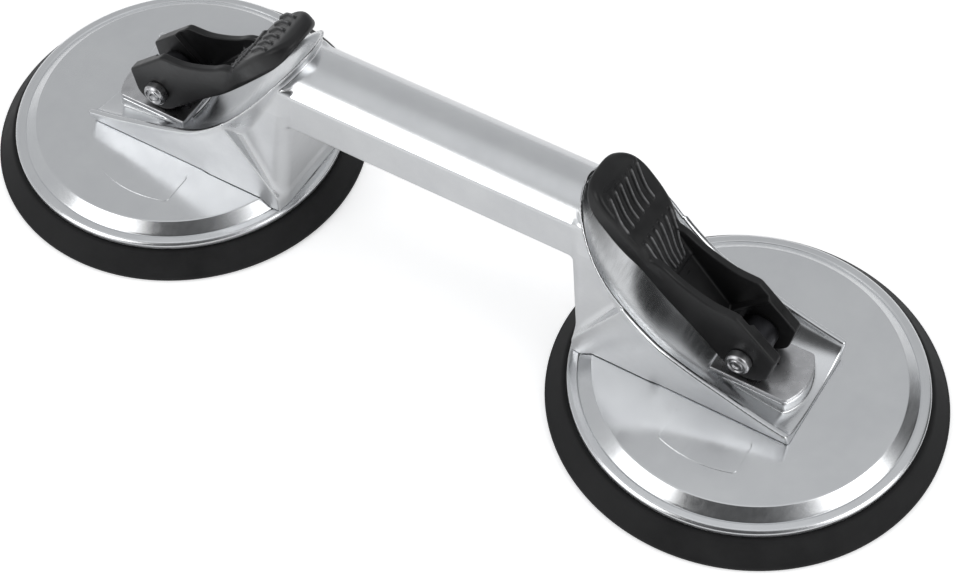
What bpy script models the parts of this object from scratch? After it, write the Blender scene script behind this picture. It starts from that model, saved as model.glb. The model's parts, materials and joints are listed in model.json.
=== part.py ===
"""Twin-cup vacuum lifter: a cast handle with a lever-operated suction cup at each end.

Frame: +X along the handle, +Z up, origin on the floor midway between the cups.
Each end is drawn once, in a frame of its own whose X runs outwards from the middle of its cup,
and is placed twice: as drawn at +X, and turned half round at -X.
"""

import math

import bmesh
import bpy
from mathutils import Matrix, Vector

# The shapes are drawn in millimetres and placed in metres.
MM = 0.001

# Driving dimensions
CUP_SPACING = 204
PAD_RADIUS = 60
PIN_HEIGHT = 30
LEVER_SWING = math.radians(145)
DRAW_LIFT = 3.2
GAP = 0.3

# Rubber pad and its moving middle
PAD_TOP = 7.7
MEMBRANE_LOW = 1.0
MEMBRANE_TOP = 4.0
SEAL_INNER_RADIUS = 50
HUB_RADIUS = 23.7
HUB_GAP = 0.6
HUB_FLOOR = 1.5
PAD_BEVEL = 0.6
PAD_SIDE = 1.6
PAD_SLOPE = 4.8
GROOVE_LAND = 3.2
GROOVE_FILLET = (2.3, 1.5)
SEAL_LIP = 1

# Cup cover
COVER_RADIUS = 53.5
COVER_TOP = 13
COVER_WALL = 3
LEDGE_RADIUS = 50.3
LEDGE_TOP = 10.4
PLATEAU_RADIUS = 46.5
LEDGE_FALL = 0.1
COVER_BEVEL = 0.6
SHOULDER_EASE = 0.6
SHOULDER_FALL = 0.3
TONGUE_INNER = 50
TONGUE_OUTER = 51.8
TONGUE_LOW = 5
TONGUE_FILLET = 1.8
COVER_BORE = 11

# Handle casting: bar and columns
BAR_LOW = 47
BAR_EDGE_HEIGHT = 60
BAR_CROWN = 65.5
BAR_HALF_LOW = 13
BAR_HALF_HIGH = 12
BAR_OVERLAP = 30
WALL = 3.2
COLUMN_CORNER = 4.5
COLUMN_RINGS = (  # height, inner end, half width
    (8, -49.8, 17.5),
    (14, -50.5, 17.0),
    (52, -54.4, 14.0),
    (60, -55.0, 12.4),
)
COLUMN_OUTER = -20
FOOT_END = 21
FOOT_HALF_WIDTH = 17.8
FOOT_CREASE = ((-50, 16), (-34, 42))
FOOT_LOW = 7
FOOT_BASE = COVER_TOP + GAP
RIM_LOW = 9

# Recess round the lever
RIM_CENTRE = -36
RIM_INNER = 18
RIM_OUTER = 20
RIM_CORE = 10
RIM_LEAN = 0.35
RIM_STANDS = 0.5
RIM_LIP_DEPTH = 7
RIM_LIP_UNDERCUT = 3.5
RIM_CURVE = (  # distance outwards, height
    (-55.5, 70.3), (-50, 64.0), (-44, 56.3),
    (-38, 49.2), (-30, 40.5), (-22, 34.0),
    (-12, 29.3), (0, 25.2), (12, 21.4),
    (22, 18.8),
)
SCOOP_FLOOR = (  # distance outwards, height
    (-54, 69), (-50, 58.5), (-44, 47.5),
    (-36, 36.5), (-26, 27.0), (-14, 20.2),
    (0, 16.6), (12, 15.0), (30, 14.2),
)
SCOOP_END = 30
SCOOP_TURN = math.radians(86)
SCOOP_LEAST = 0.4

# Hollows of the casting, open at the bottom
HOLLOW_STATIONS = (-18, -26, -34, -42)
HOLLOW_ROOF = 1.3 * WALL
HOLLOW_TOP = 48
HOLLOW_HALF_WIDTH = 10
CHANNEL_BAYS = 4
CHANNEL_RIB = 2.5
CHANNEL_END_WALL = 1.5

# Cam seat, wear plate and draw gear
BOSS_LOW = 6
BOSS_TOP = 19.2
BOSS_HALF_WIDTH = 9.8
BOSS_INNER = -9
BOSS_CORNER = 15.5
BOSS_END = 18.5
PLATE_TOP = 21
PLATE_PLAY = 0.4
POCKET_RADIUS = 9.8
POCKET_TOP = 16.2
BUSH_RADIUS = 6.3
BUSH_FLANGE = 9.2
BUSH_LOW = 14.6
STUD_RADIUS = 4
STUD_LOW = 4.4
EYE_RADIUS = 6
EYE_HALF_WIDTH = 4.2
LUG_LOW = 21.6
LUG_OVERLAP = 1
LUG_HALF_LENGTH = 5
INSERT_RADIUS = 17.5
INSERT_TOP = 4.8
INSERT_BOSS_RADIUS = 6
INSERT_BOSS_TOP = 8
WASHER_OUTER = 10
WASHER_THICK = 0.8
SPRING_RADIUS = 7.7
SPRING_WIRE = 0.55
SPRING_TURNS = 3.5

# Pin, clip and screws
PIN_RADIUS = 3
PIN_HEAD_RADIUS = 3.8
PIN_HEAD_FACE = -11.8
PIN_HEAD_BEVEL = 0.7
PIN_END = 10.9
CLIP_RADIUS = 5.2
CLIP_THICK = 1
SCREW_PLACES = ((-39, 13.6), (-16, 13.6))
SCREW_RADIUS = 1.6
SCREW_HEAD_RADIUS = 3.1
SCREW_HEAD_HEIGHT = 2
SCREW_TOP = 21.5

# Lever: s runs from the pivot towards the thumb tip, t is square to it, towards the open face
CHEEK_OUTER = 8.5
CHEEK_INNER = 5.9
CHEEK_PAD_INNER = 4.6
CHEEK_PAD_END = 8.5
CAM_GAP = 0.35
HEEL_ANGLES = (-90, -75, -60, -45)
TOE = ((-9.8, 2.8), (-4.6, 10.4))  # s, t
CREST = (13.3, 9.6)
CHEEK_TOP = (  # s, t
    (19, 4.9), (25, 1.7), (31.3, -0.6),
    (36.6, -1.6), (38, -3.2),
)
UNDERSIDE = (  # s, t
    (38, -9.4), (30, -9.7), (15, -8.6),
    (7, -8.1), (2, -7.5),
)
TAB_STATIONS = (  # s, half width, t of the face, t of the back
    (31, 7.8, -1.6, -9.2),
    (36.3, 9.0, -1.7, -9.4),
    (40, 9.5, -4.0, -9.2),
    (44.5, 10.3, -2.7, -8.9),
    (50, 10.9, -2.0, -8.5),
    (56, 11.0, -2.0, -8.1),
    (61.5, 10.6, -1.9, -7.7),
    (65.5, 8.6, -2.3, -7.3),
    (67.8, 5.6, -3.2, -6.8),
    (68.9, 3.0, -4.2, -6.0),
)
TAB_EDGE = 1.5
WEB_END = 7.3
CHANNEL_FLOOR = ((WEB_END, -6.6), (33, -5.0), (41, -3.6))  # s, t

DISC_SIDES = 40
ROD_SIDES = 16
COIL_SIDES = 6
SCREW_SIDES = 10
SCREW_HOLE_SIDES = 12
STEPS_PER_TURN = 12
ARC_STEPS = 6
CORNER_STEPS = 4
CROWN_STEPS = 8
FOOT_STEPS = 14
STRAIGHT_STEPS = 10
RIM_STEPS = 12
SCOOP_END_STEPS = 8
TROUGH_STEPS = 10
SHARP_ANGLE = math.radians(35)
FAR = 40


# ---------- building blocks ----------

def clear_scene():
    for obj in list(bpy.data.objects):
        bpy.data.objects.remove(obj, do_unlink=True)


def material(name, colour, roughness, metallic):
    made = bpy.data.materials.new(name)
    made.use_nodes = True
    shader = made.node_tree.nodes["Principled BSDF"]
    shader.inputs["Base Color"].default_value = (*colour, 1)
    shader.inputs["Roughness"].default_value = roughness
    shader.inputs["Metallic"].default_value = metallic
    return made


def mesh_from(bm, name):
    bmesh.ops.recalc_face_normals(bm, faces=bm.faces)
    bm.normal_update()
    bmesh.ops.triangulate(bm, faces=bm.faces)
    mesh = bpy.data.meshes.new(name)
    bm.to_mesh(mesh)
    bm.free()
    return mesh


def turned(name, profile, sides):
    """A solid of revolution about Z from a closed outline of (radius, height) points."""
    bm = bmesh.new()
    verts = [bm.verts.new((radius, 0, height)) for radius, height in profile]
    pairs = [(verts[i - 1], verts[i]) for i in range(len(verts))]
    edges = [bm.edges.new(pair) for pair in pairs if pair[0].co.x or pair[1].co.x]
    bmesh.ops.spin(bm, geom=verts + edges, cent=(0, 0, 0), axis=(0, 0, 1),
                   angle=2 * math.pi, steps=sides)
    bmesh.ops.remove_doubles(bm, verts=bm.verts, dist=0.001)
    return mesh_from(bm, name)


def loft(name, rings):
    """A solid through rings of equal length, closed by a flat face at each end."""
    bm = bmesh.new()
    rows = [[bm.verts.new(point) for point in ring] for ring in rings]
    for low, high in zip(rows, rows[1:]):
        for i in range(len(low)):
            bm.faces.new((low[i - 1], low[i], high[i], high[i - 1]))
    bm.faces.new(rows[0])
    bm.faces.new(rows[-1])
    return mesh_from(bm, name)


def upright(name, outline, low, high):
    """A prism from a plan outline of (x, y) points."""
    return loft(name, [[(x, y, z) for x, y in outline] for z in (low, high)])


def sideways(name, outline, half_width):
    """A prism across Y from a side outline of (x, z) points."""
    return loft(name, [[(x, y, z) for x, z in outline] for y in (-half_width, half_width)])


def lengthwise(name, outline, start, end):
    """A prism along X from a cross-section of (y, z) points."""
    return loft(name, [[(x, y, z) for y, z in outline] for x in (start, end)])


def round_bar(name, radius, low, high, sides=ROD_SIDES):
    return turned(name, [(0, low), (radius, low), (radius, high), (0, high)], sides)


def across(mesh):
    """Turns a mesh drawn about Z so that it lies along Y, what was up facing +Y."""
    mesh.transform(Matrix.Rotation(-math.pi / 2, 4, "X"))
    return mesh


def moved(mesh, x=0, y=0, z=0):
    mesh.transform(Matrix.Translation((x, y, z)))
    return mesh


def helper(mesh):
    """An object that only cuts or adds to another, and isn't a part itself."""
    obj = bpy.data.objects.new("tool_" + mesh.name, mesh)
    obj.hide_render = True
    obj.display_type = "WIRE"
    bpy.context.collection.objects.link(obj)
    return obj


def combine(mesh, steps, solver="EXACT"):
    """Applies (operation, mesh) steps to a mesh in turn and gives the resulting mesh."""
    body = helper(mesh)
    tools = [body]
    for operation, other in steps:
        tool = helper(other)
        tools.append(tool)
        modifier = body.modifiers.new(operation.lower(), "BOOLEAN")
        modifier.operation = operation
        modifier.solver = solver
        modifier.object = tool
    bpy.context.view_layer.update()
    graph = bpy.context.evaluated_depsgraph_get()
    result = bpy.data.meshes.new_from_object(body.evaluated_get(graph))
    for tool in tools:
        bpy.data.objects.remove(tool, do_unlink=True)
    return result


def curve_height(points, x):
    """The height at x on the smooth line through (x, height) points sorted by x."""
    last = len(points) - 1
    x = min(max(x, points[0][0]), points[last][0])
    i = next(k for k in range(last) if x <= points[k + 1][0])
    (x0, z0), (x1, z1) = points[i], points[i + 1]
    slopes = []
    for k in (i, i + 1):
        before, after = points[max(k - 1, 0)], points[min(k + 1, last)]
        slopes.append((after[1] - before[1]) / (after[0] - before[0]))
    width = x1 - x0
    t = (x - x0) / width
    return ((2 * t**3 - 3 * t**2 + 1) * z0 + (t**3 - 2 * t**2 + t) * width * slopes[0]
            + (3 * t**2 - 2 * t**3) * z1 + (t**3 - t**2) * width * slopes[1])


def rim_height(x):
    return curve_height(RIM_CURVE, x)


def floor_height(x):
    return curve_height(SCOOP_FLOOR, x)


def arc(centre, radius, start, end, steps):
    """Points on a circle from one angle to another, both ends included."""
    angles = [start + (end - start) * i / steps for i in range(steps + 1)]
    return [(centre[0] + radius * math.cos(a), centre[1] + radius * math.sin(a)) for a in angles]


# ---------- suction pad ----------

def pad_mesh():
    groove_low = TONGUE_LOW - GAP
    land = TONGUE_INNER - GROOVE_LAND
    profile = [
        (SEAL_INNER_RADIUS, 0),
        (PAD_RADIUS - PAD_BEVEL, 0),
        (PAD_RADIUS, PAD_BEVEL),
        (PAD_RADIUS, PAD_SIDE),
        (PAD_RADIUS - PAD_SLOPE, PAD_TOP - PAD_BEVEL),
        (PAD_RADIUS - PAD_SLOPE - PAD_BEVEL, PAD_TOP),
        (TONGUE_OUTER + GAP, PAD_TOP),
        (TONGUE_OUTER + GAP, groove_low),
        (TONGUE_INNER - GAP, groove_low),
        (TONGUE_INNER - GAP, PAD_TOP),
        (land, PAD_TOP),
        (land, MEMBRANE_TOP + GROOVE_FILLET[1]),
        (land - GROOVE_FILLET[0], MEMBRANE_TOP),
        (HUB_RADIUS + HUB_GAP, MEMBRANE_TOP),
        (HUB_RADIUS + HUB_GAP, MEMBRANE_LOW),
        (SEAL_INNER_RADIUS - SEAL_LIP, MEMBRANE_LOW),
    ]
    return turned("suction_pad", profile, DISC_SIDES)


def pad_hub_mesh():
    recess = INSERT_RADIUS + GAP
    floor = MEMBRANE_LOW + HUB_FLOOR
    profile = [
        (0, MEMBRANE_LOW), (HUB_RADIUS, MEMBRANE_LOW), (HUB_RADIUS, MEMBRANE_TOP),
        (recess, MEMBRANE_TOP), (recess, floor), (0, floor),
    ]
    return turned("pad_hub", profile, DISC_SIDES)


def pad_insert_mesh():
    low = MEMBRANE_LOW + HUB_FLOOR + GAP
    bore = STUD_RADIUS + GAP
    profile = [
        (0, low), (INSERT_RADIUS, low), (INSERT_RADIUS, INSERT_TOP),
        (INSERT_BOSS_RADIUS, INSERT_TOP), (INSERT_BOSS_RADIUS, INSERT_BOSS_TOP),
        (bore, INSERT_BOSS_TOP), (bore, STUD_LOW - GAP), (0, STUD_LOW - GAP),
    ]
    return turned("pad_insert", profile, 2 * ROD_SIDES)


# ---------- cup cover ----------

def cover_shell(grow=0):
    """The cover's outside, grown for the clearance that it leaves in the casting above it."""
    outside = [
        (COVER_RADIUS, LEDGE_TOP - COVER_BEVEL - LEDGE_FALL),
        (COVER_RADIUS - COVER_BEVEL, LEDGE_TOP - LEDGE_FALL),
        (LEDGE_RADIUS, LEDGE_TOP), (PLATEAU_RADIUS + SHOULDER_EASE, COVER_TOP - SHOULDER_FALL),
        (PLATEAU_RADIUS - SHOULDER_EASE, COVER_TOP),
    ]
    return [(r + grow, z + grow) for r, z in outside]


def cover_mesh():
    ceiling = COVER_TOP - COVER_WALL
    inside = [
        (COVER_BORE, COVER_TOP), (COVER_BORE, ceiling), (PLATEAU_RADIUS, ceiling),
        (TONGUE_INNER - TONGUE_FILLET, PAD_TOP + 2 * GAP), (TONGUE_INNER, PAD_TOP + GAP),
        (TONGUE_INNER, TONGUE_LOW), (TONGUE_OUTER, TONGUE_LOW),
        (TONGUE_OUTER, PAD_TOP + GAP), (COVER_RADIUS, PAD_TOP + GAP),
    ]
    shell = turned("cup_cover", cover_shell() + inside, DISC_SIDES)
    bore = round_bar("bore", COVER_BORE, 0, FAR, 2 * ROD_SIDES)
    return combine(shell, [("DIFFERENCE", bore)] + screw_holes())


def screw_places():
    return [(x, side * y) for x, y in SCREW_PLACES for side in (-1, 1)]


def screw_holes():
    top = SCREW_TOP + GAP
    return [
        ("DIFFERENCE", moved(round_bar("screw_hole", SCREW_RADIUS + GAP, 0, top, SCREW_HOLE_SIDES), x, y))
        for x, y in screw_places()
    ]


# ---------- handle casting ----------

def column_mesh():
    """The upright column under the end of the bar, its inner corners rounded."""
    rings = []
    for height, end, half in COLUMN_RINGS:
        corner = end + COLUMN_CORNER
        low_side = arc((corner, -half + COLUMN_CORNER), COLUMN_CORNER, math.pi, 1.5 * math.pi,
                       CORNER_STEPS)
        high_side = arc((corner, half - COLUMN_CORNER), COLUMN_CORNER, 0.5 * math.pi, math.pi,
                        CORNER_STEPS)
        plan = low_side + [(COLUMN_OUTER, -half), (COLUMN_OUTER, half)] + high_side
        rings.append([(x, y, height) for x, y in plan])
    return loft("column", rings)


def lip_reach(x):
    """How far the rim's outer edge stands from the middle line, less where it runs out."""
    return min(RIM_OUTER, FOOT_HALF_WIDTH + RIM_LEAN * (rim_height(x) - FOOT_BASE))


def foot_mesh():
    """The wider foot that carries the recess, its sides leaning out towards the rim."""
    (crease_x, crease_low), (crease_end, crease_high) = FOOT_CREASE
    stations = [crease_x + (FOOT_END - crease_x) * i / FOOT_STEPS for i in range(FOOT_STEPS + 1)]
    rings = []
    for x in stations:
        along = (x - crease_x) / (crease_end - crease_x)
        rim = rim_height(x)
        top = min(rim - RIM_STANDS, crease_low + along * (crease_high - crease_low))
        base = FOOT_HALF_WIDTH
        half = base + (lip_reach(x) - base) * (top - FOOT_BASE) / (rim - FOOT_BASE)
        rings.append([(x, -base, FOOT_LOW), (x, base, FOOT_LOW), (x, base, FOOT_BASE),
                      (x, half, top), (x, -half, top), (x, -base, FOOT_BASE)])
    return loft("foot", rings)


def rim_path(radius):
    """The U that the rim follows in plan, from one outer tip round the inner end to the other."""
    count = STRAIGHT_STEPS - 1
    straight = [FOOT_END + (RIM_CENTRE - FOOT_END) * i / count for i in range(count)]
    turn = arc((RIM_CENTRE, 0), radius, 1.5 * math.pi, 0.5 * math.pi, RIM_STEPS)
    return [(x, -radius) for x in straight] + turn + [(x, radius) for x in reversed(straight)]


def rim_mesh():
    """The lip round the recess, undercut below and filled in across to be scooped out later."""
    middle = rim_path((RIM_INNER + RIM_OUTER) / 2)
    edge = rim_path(RIM_OUTER)
    neck = rim_path(RIM_OUTER - RIM_LIP_UNDERCUT)
    core = rim_path(RIM_CORE)
    rings = []
    for mid, out, under, inner in zip(middle, edge, neck, core):
        top = rim_height(mid[0])
        low = max(top - RIM_LIP_DEPTH, RIM_LOW)
        reach = lip_reach(mid[0])
        lip = (out[0], min(max(out[1], -reach), reach), top)
        rings.append([lip, (*under, low), (*inner, low), (*inner, top)])
    return loft("rim", rings)


def bar_outline(half_low, half_high, low, edge, crown):
    """The bar's cross-section in (y, z), flat sided with a crowned top."""
    top = [(half_high * math.cos(a), edge + (crown - edge) * math.sin(a))
           for a in (math.pi * i / CROWN_STEPS for i in range(CROWN_STEPS + 1))]
    return [(-half_low, low), (half_low, low)] + top


def scoop_mesh():
    """What the recess removes: an oval trough under the rim, and everything above it."""
    straight = [(SCOOP_END + (RIM_CENTRE - SCOOP_END) * i / STRAIGHT_STEPS, RIM_INNER)
                for i in range(STRAIGHT_STEPS)]
    turn = [(RIM_CENTRE - RIM_INNER * math.sin(a), RIM_INNER * math.cos(a))
            for a in (SCOOP_TURN * i / SCOOP_END_STEPS for i in range(SCOOP_END_STEPS + 1))]
    rings = []
    for x, half in straight + turn:
        floor = min(floor_height(x), rim_height(RIM_CENTRE - RIM_INNER) - SCOOP_LEAST)
        rim = max(rim_height(x), floor + SCOOP_LEAST)
        trough = [(half * math.cos(a), rim - (rim - floor) * math.sin(a))
                  for a in (math.pi * i / TROUGH_STEPS for i in range(TROUGH_STEPS + 1))]
        ring = trough + [(-half, rim + FAR), (half, rim + FAR)]
        rings.append([(x, y, z) for y, z in ring])
    return loft("scoop", rings)


def boss_outline(grow=0):
    """The cam seat's plan: straight sides and a bowed outer end."""
    half = BOSS_HALF_WIDTH
    bow = BOSS_END - BOSS_CORNER
    radius = (half**2 + bow**2) / (2 * bow)
    reach = math.asin(half / radius)
    end = arc((BOSS_END - radius, 0), radius, -reach, reach, ARC_STEPS)
    plan = [(BOSS_INNER, -half)] + end + [(BOSS_INNER, half)]
    middle = (BOSS_INNER + BOSS_END) / 2
    return [(x + math.copysign(grow, x - middle), y + (math.copysign(grow, y) if y else 0))
            for x, y in plan]


def hollow_mesh():
    """The column's hollow, open at the bottom and kept a wall away from the recess."""
    inner_low = COLUMN_RINGS[1][1] + WALL
    inner_high = COLUMN_RINGS[2][1] + WALL
    roof = [(x, floor_height(x) - HOLLOW_ROOF) for x in HOLLOW_STATIONS]
    outline = [(inner_low, 0), (roof[0][0], 0)] + roof + [(inner_high, HOLLOW_TOP)]
    return sideways("hollow", outline, HOLLOW_HALF_WIDTH)


def channel_meshes():
    """The bar's underside pockets, left apart by stiffening ribs."""
    outline = bar_outline(BAR_HALF_LOW - WALL, BAR_HALF_HIGH - WALL, BAR_LOW - WALL,
                          BAR_EDGE_HEIGHT - WALL, BAR_CROWN - WALL)
    reach = CUP_SPACING / 2 + COLUMN_RINGS[-1][1] - CHANNEL_END_WALL
    pitch = 2 * reach / CHANNEL_BAYS
    starts = [-reach + pitch * i for i in range(CHANNEL_BAYS)]
    gap = CHANNEL_RIB / 2
    return [lengthwise("channel", outline, start + gap, start + pitch - gap) for start in starts]


def bar_mesh():
    """The grip bar, running on into the column and rim at each end."""
    reach = CUP_SPACING / 2 - BAR_OVERLAP
    outline = bar_outline(BAR_HALF_LOW, BAR_HALF_HIGH, BAR_LOW, BAR_EDGE_HEIGHT, BAR_CROWN)
    return lengthwise("handle_casting", outline, -reach, reach)


def cover_room_mesh():
    """The space that the cover and its clearance take from the foot."""
    raised = COVER_TOP + GAP
    base = [(0, raised), (0, 0), (COVER_RADIUS + GAP, 0)]
    return turned("cover_room", cover_shell(GAP) + base, DISC_SIDES)


def end_steps():
    """What is added to the bar and then taken away at one end, drawn round that end's cup."""
    boss = upright("boss", boss_outline(), BOSS_LOW, BOSS_TOP)
    plate_room = upright("plate_room", boss_outline(GAP), BOSS_TOP, FAR)
    return [
        ("UNION", column_mesh()),
        ("UNION", foot_mesh()),
        ("UNION", rim_mesh()),
        ("DIFFERENCE", scoop_mesh()),
        ("UNION", boss),
        ("DIFFERENCE", plate_room),
        ("DIFFERENCE", cover_room_mesh()),
        ("DIFFERENCE", hollow_mesh()),
        ("DIFFERENCE", round_bar("pocket", POCKET_RADIUS, 0, POCKET_TOP)),
        ("DIFFERENCE", round_bar("bush_hole", BUSH_RADIUS + GAP, 0, FAR)),
    ] + screw_holes()


def handle_mesh():
    """Both ends and the bar between them as one casting."""
    steps = []
    for side in (1, -1):
        for operation, tool in end_steps():
            tool.transform(end_matrix(side))
            steps.append((operation, tool))
    steps += [("DIFFERENCE", channel) for channel in channel_meshes()]
    return combine(bar_mesh(), steps, "MANIFOLD")


# ---------- draw gear ----------

def wear_plate_mesh():
    plate = upright("wear_plate", boss_outline(), BOSS_TOP + GAP, PLATE_TOP)
    hole = round_bar("plate_hole", STUD_RADIUS + PLATE_PLAY, 0, FAR)
    return combine(plate, [("DIFFERENCE", hole)])


def guide_bush_mesh():
    bore = STUD_RADIUS + GAP
    flange_top = POCKET_TOP - GAP
    profile = [
        (bore, BUSH_LOW), (BUSH_FLANGE, BUSH_LOW), (BUSH_FLANGE, flange_top),
        (BUSH_RADIUS, flange_top), (BUSH_RADIUS, BOSS_TOP - GAP), (bore, BOSS_TOP - GAP),
    ]
    return turned("guide_bush", profile, ROD_SIDES)


def draw_stud_mesh():
    shank = round_bar("draw_stud", STUD_RADIUS, STUD_LOW, LUG_LOW + LUG_OVERLAP)
    half = LUG_HALF_LENGTH
    lug = upright("lug", [(-half, -EYE_HALF_WIDTH), (half, -EYE_HALF_WIDTH),
                          (half, EYE_HALF_WIDTH), (-half, EYE_HALF_WIDTH)], LUG_LOW, PIN_HEIGHT)
    eye = across(round_bar("eye", EYE_RADIUS, -EYE_HALF_WIDTH, EYE_HALF_WIDTH))
    hole = across(round_bar("eye_hole", PIN_RADIUS + GAP, -FAR, FAR))
    steps = [("UNION", lug), ("UNION", moved(eye, z=PIN_HEIGHT)),
             ("DIFFERENCE", moved(hole, z=PIN_HEIGHT))]
    return combine(shank, steps)


def spring_seat_mesh():
    low = INSERT_TOP + GAP
    high = low + WASHER_THICK
    bore = INSERT_BOSS_RADIUS + GAP
    return turned("spring_seat", [(bore, low), (WASHER_OUTER, low), (WASHER_OUTER, high),
                                  (bore, high)], ROD_SIDES)


def spring_span():
    """The lowest and highest point of the return spring."""
    return INSERT_TOP + 2 * GAP + WASHER_THICK, BUSH_LOW - GAP


def return_spring_mesh():
    low, high = spring_span()
    low, high = low + SPRING_WIRE, high - SPRING_WIRE
    steps = round(SPRING_TURNS * STEPS_PER_TURN)
    rings = []
    for i in range(steps + 1):
        angle = 2 * math.pi * SPRING_TURNS * i / steps
        outward = Vector((math.cos(angle), math.sin(angle), 0))
        centre = outward * SPRING_RADIUS + Vector((0, 0, low + (high - low) * i / steps))
        section = arc((0, 0), SPRING_WIRE, 0, 2 * math.pi, COIL_SIDES)[:-1]
        rings.append([centre + outward * a + Vector((0, 0, b)) for a, b in section])
    return loft("return_spring", rings)


def pivot_pin_mesh():
    """The lever's pin, lying along Y with its round head towards -Y."""
    back = -CHEEK_OUTER - GAP
    profile = [
        (0, PIN_HEAD_FACE), (PIN_HEAD_RADIUS - PIN_HEAD_BEVEL, PIN_HEAD_FACE),
        (PIN_HEAD_RADIUS, PIN_HEAD_FACE + PIN_HEAD_BEVEL), (PIN_HEAD_RADIUS, back),
        (PIN_RADIUS, back), (PIN_RADIUS, PIN_END), (0, PIN_END),
    ]
    return across(turned("pivot_pin", profile, ROD_SIDES))


def pin_clip_mesh():
    near = CHEEK_OUTER + GAP
    bore = PIN_RADIUS + GAP
    profile = [(bore, near), (CLIP_RADIUS, near), (CLIP_RADIUS, near + CLIP_THICK),
               (bore, near + CLIP_THICK)]
    return across(turned("pin_clip", profile, ROD_SIDES))


def cover_screw_mesh():
    head_top = COVER_TOP - COVER_WALL - GAP
    head_low = head_top - SCREW_HEAD_HEIGHT
    profile = [(0, head_low), (SCREW_HEAD_RADIUS, head_low), (SCREW_HEAD_RADIUS, head_top),
               (SCREW_RADIUS, head_top), (SCREW_RADIUS, SCREW_TOP), (0, SCREW_TOP)]
    return turned("cover_screw", profile, SCREW_SIDES)


# ---------- lever ----------

def lever_point(s, t):
    """(s, t) in the lever's own directions as (x, z) from its pivot, the lever leaning inwards."""
    root2 = math.sqrt(2)
    return ((t - s) / root2, (t + s) / root2)


def cam_radius(angle):
    """How far the cheek may reach in a direction and still clear the wear plate on its turn."""
    share = (angle + math.pi / 2) / LEVER_SWING
    return PIN_HEIGHT - PLATE_TOP + DRAW_LIFT * share - CAM_GAP


def cheek_outline():
    """The lever's side outline up to the thumb tab, as (x, z) points from the pivot."""
    heel = [math.radians(a) for a in HEEL_ANGLES]
    cam = [(cam_radius(a) * math.cos(a), cam_radius(a) * math.sin(a)) for a in heel]
    return cam + [lever_point(s, t) for s, t in (*TOE, CREST, *CHEEK_TOP, *UNDERSIDE)]


def tab_mesh():
    """The thumb tab: a paddle that widens to a rounded tip, with softened edges."""
    rings = []
    for s, half, face, back in TAB_STATIONS:
        edge = min(TAB_EDGE, (face - back) / 3)
        section = [(-half + edge, face), (-half, face - edge), (-half, back + edge),
                   (-half + edge, back), (half - edge, back), (half, back + edge),
                   (half, face - edge), (half - edge, face)]
        ring = []
        for y, t in section:
            x, z = lever_point(s, t)
            ring.append((x, y, z))
        rings.append(ring)
    return loft("tab", rings)


def lever_mesh():
    """Two cheeks joined by a web and a thumb tab, drawn from the pivot."""
    floor_end = CHANNEL_FLOOR[-1][0]
    slot = [(WEB_END, -FAR), *CHANNEL_FLOOR, (floor_end, FAR), (-FAR, FAR), (-FAR, -FAR)]
    trough = [(CHEEK_PAD_END, CHANNEL_FLOOR[0][1]), *CHANNEL_FLOOR[1:], (floor_end, FAR),
              (CHEEK_PAD_END, FAR)]
    steps = [("UNION", tab_mesh())]
    for outline, half in ((trough, CHEEK_INNER), (slot, CHEEK_PAD_INNER)):
        cutter = sideways("channel", [lever_point(s, t) for s, t in outline], half)
        steps.append(("DIFFERENCE", cutter))
    hole = across(round_bar("pin_hole", PIN_RADIUS + GAP, -FAR, FAR))
    steps.append(("DIFFERENCE", hole))
    return combine(sideways("lever", cheek_outline(), CHEEK_OUTER), steps, "MANIFOLD")


# ---------- assembly ----------

def end_matrix(side):
    """Places an end drawn round its own cup, in millimetres: side 1 is at +X, side -1 at -X."""
    turn = Matrix.Rotation(0 if side > 0 else math.pi, 4, "Z")
    return Matrix.Translation((side * CUP_SPACING / 2, 0, 0)) @ turn


def finished(mesh, finish):
    """Brings a mesh drawn in millimetres to metres and gives it its material."""
    mesh.transform(Matrix.Scale(MM, 4))
    mesh.materials.clear()
    mesh.materials.append(finish)
    mesh.shade_smooth()
    mesh.set_sharp_from_angle(angle=SHARP_ANGLE)
    return mesh


def place(name, mesh, parent=None, location=(0, 0, 0), turn=0):
    obj = bpy.data.objects.new(name, mesh)
    obj.location = Vector(location) * MM
    obj.rotation_euler = (0, 0, turn)
    obj.parent = parent
    bpy.context.collection.objects.link(obj)
    return obj


def marker(name, location, turn):
    """An empty that stands on a joint's axis or at a cup's middle and carries its pieces."""
    obj = bpy.data.objects.new(name, None)
    obj.location = Vector(location) * MM
    obj.rotation_euler = (0, 0, turn)
    bpy.context.collection.objects.link(obj)
    return obj


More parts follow.
